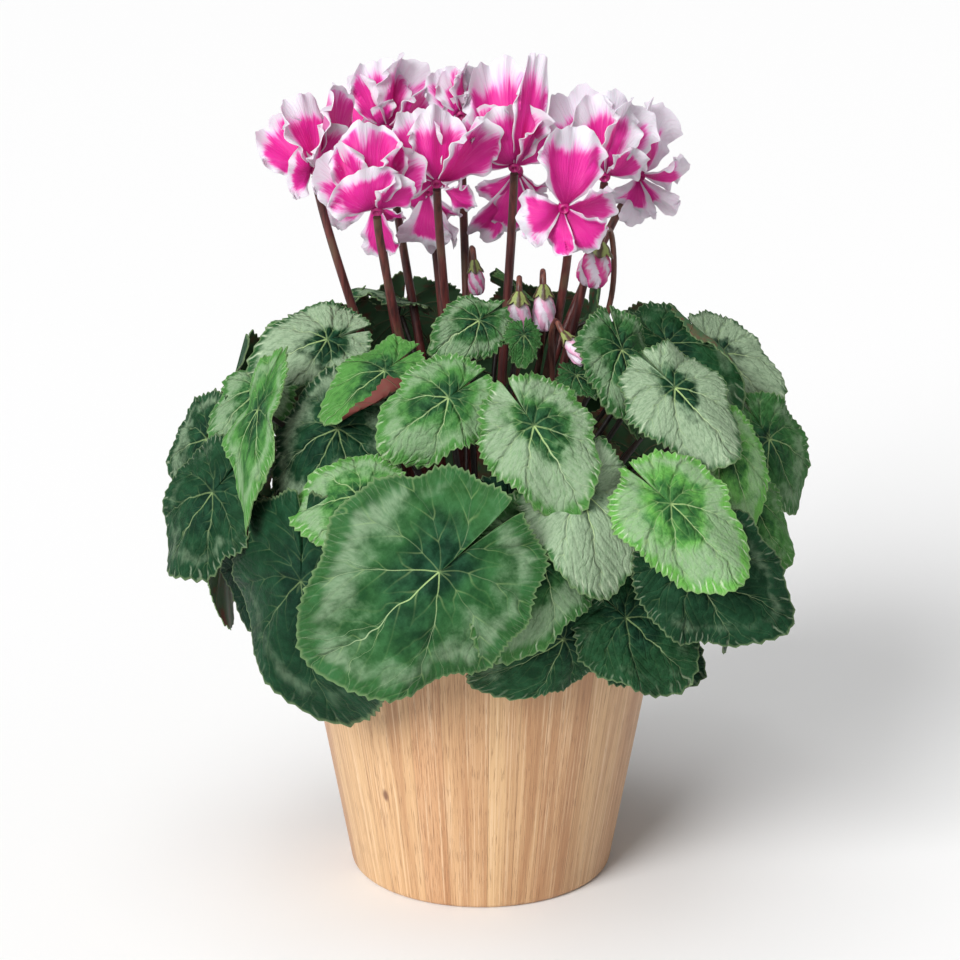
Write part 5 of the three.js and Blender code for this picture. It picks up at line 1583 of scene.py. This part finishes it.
class CYCLAMEN_OT_finishes(bpy.types.Operator):
    """Makes the materials of every piece"""
    bl_idname = "cyclamen.finishes"
    bl_label = "Finishes"

    def execute(self, context):
        scene = context.scene
        leaf_material(scene.cyclamen_leaves)
        underside_material(scene.cyclamen_leaves)
        petal_material(scene.cyclamen_flowers, "petal_face", False)
        petal_material(scene.cyclamen_flowers, "petal_reverse", True)
        bud_material(scene.cyclamen_flowers)
        calyx_material(scene.cyclamen_flowers)
        stalks = scene.cyclamen_stalks
        stalk_material("flower_stalk", stalks.low, stalks.high, stalks.green)
        stalk_material("bud_stalk", stalks.low, (0.200, 0.070, 0.045), stalks.green)
        # The leaf stalks are painted almost black, far darker than their own red-brown: painted shade for the
        # deep gaps between the leaves where they show.
        stalk_material("leaf_stalk_painted_shade", (0.006, 0.004, 0.003), (0.024, 0.012, 0.008), (0.016, 0.020, 0.010))
        stalk_material("flower_throat", (0.34, 0.002, 0.12), (0.48, 0.006, 0.17), (0.30, 0.01, 0.10))
        wood_material(scene.cyclamen_pot)
        plastic_material(scene.cyclamen_pot.plastic)
        soil_material(scene.cyclamen_pot)
        tuber_material()
        return {"FINISHED"}


class CYCLAMEN_OT_stage(bpy.types.Operator):
    """Sets the pale floor, the soft lights and the camera"""
    bl_idname = "cyclamen.stage"
    bl_label = "Stage"

    def execute(self, context):
        scene = context.scene
        settings = scene.cyclamen_stage
        scene.view_settings.view_transform = "Standard"
        half = settings.floor / 2
        corners = [(-half, -half, 0), (half, -half, 0), (half, half, 0), (-half, half, 0)]
        mesh = bpy.data.meshes.new("floor")
        mesh.from_pydata(corners, [], [(0, 1, 2, 3)])
        mesh.materials.append(Shader("pale_floor").finish((0.9, 0.9, 0.9), 0.85))
        floor = bpy.data.objects.new("floor", mesh)
        scene.collection.objects.link(floor)
        self.light("key", *KEY_LIGHT, settings.key)
        self.light("top", *TOP_LIGHT, settings.top)
        world = bpy.data.worlds.new("soft_sky")
        world.use_nodes = True
        background = world.node_tree.nodes["Background"]
        background.inputs["Color"].default_value = (1, 1, 1, 1)
        background.inputs["Strength"].default_value = settings.sky
        scene.world = world
        lens = bpy.data.cameras.new("camera")
        lens.lens = LENS
        lens.sensor_width = SENSOR
        lens.shift_x = SHIFT
        camera = bpy.data.objects.new("camera", lens)
        camera.location = CAMERA_PLACE
        camera.rotation_euler = (math.radians(CAMERA_TILT), 0, 0)
        scene.collection.objects.link(camera)
        scene.camera = camera
        return {"FINISHED"}

    def light(self, name, place, spread, strength):
        lamp = bpy.data.lights.new(name, "SUN")
        lamp.energy = strength
        lamp.angle = math.radians(spread)
        holder = bpy.data.objects.new(name, lamp)
        holder.location = place
        holder.rotation_euler = (-Vector(place)).to_track_quat("-Z", "Y").to_euler()
        bpy.context.scene.collection.objects.link(holder)


OPERATORS = (
    CYCLAMEN_OT_finishes,
    CYCLAMEN_OT_stage,
    CYCLAMEN_OT_wood_pot,
    CYCLAMEN_OT_grow_pot,
    CYCLAMEN_OT_soil,
    CYCLAMEN_OT_blooms,
    CYCLAMEN_OT_buds,
    CYCLAMEN_OT_front_leaves,
    CYCLAMEN_OT_back_leaves,
    CYCLAMEN_OT_stalks,
)


class CYCLAMEN_PT_pieces(bpy.types.Panel):
    bl_label = "Potted cyclamen"
    bl_idname = "CYCLAMEN_PT_pieces"
    bl_space_type = "VIEW_3D"
    bl_region_type = "UI"
    bl_category = "Cyclamen"

    def draw(self, context):
        for operator in OPERATORS:
            self.layout.operator(operator.bl_idname)


SETTINGS = {
    "cyclamen_leaves": CyclamenLeafSettings,
    "cyclamen_flowers": CyclamenFlowerSettings,
    "cyclamen_stalks": CyclamenStalkSettings,
    "cyclamen_pot": CyclamenPotSettings,
    "cyclamen_stage": CyclamenStageSettings,
}


def register():
    for group in SETTINGS.values():
        bpy.utils.register_class(group)
    for operator in OPERATORS:
        bpy.utils.register_class(operator)
    bpy.utils.register_class(CYCLAMEN_PT_pieces)
    for name, group in SETTINGS.items():
        setattr(bpy.types.Scene, name, PointerProperty(type=group))


def unregister():
    for name in SETTINGS:
        delattr(bpy.types.Scene, name)
    bpy.utils.unregister_class(CYCLAMEN_PT_pieces)
    for operator in reversed(OPERATORS):
        bpy.utils.unregister_class(operator)
    for group in reversed(SETTINGS.values()):
        bpy.utils.unregister_class(group)


def main():
    register()
    for operator in OPERATORS:
        family, action = operator.bl_idname.split(".")
        getattr(getattr(bpy.ops, family), action)()


if __name__ == "__main__":
    main()
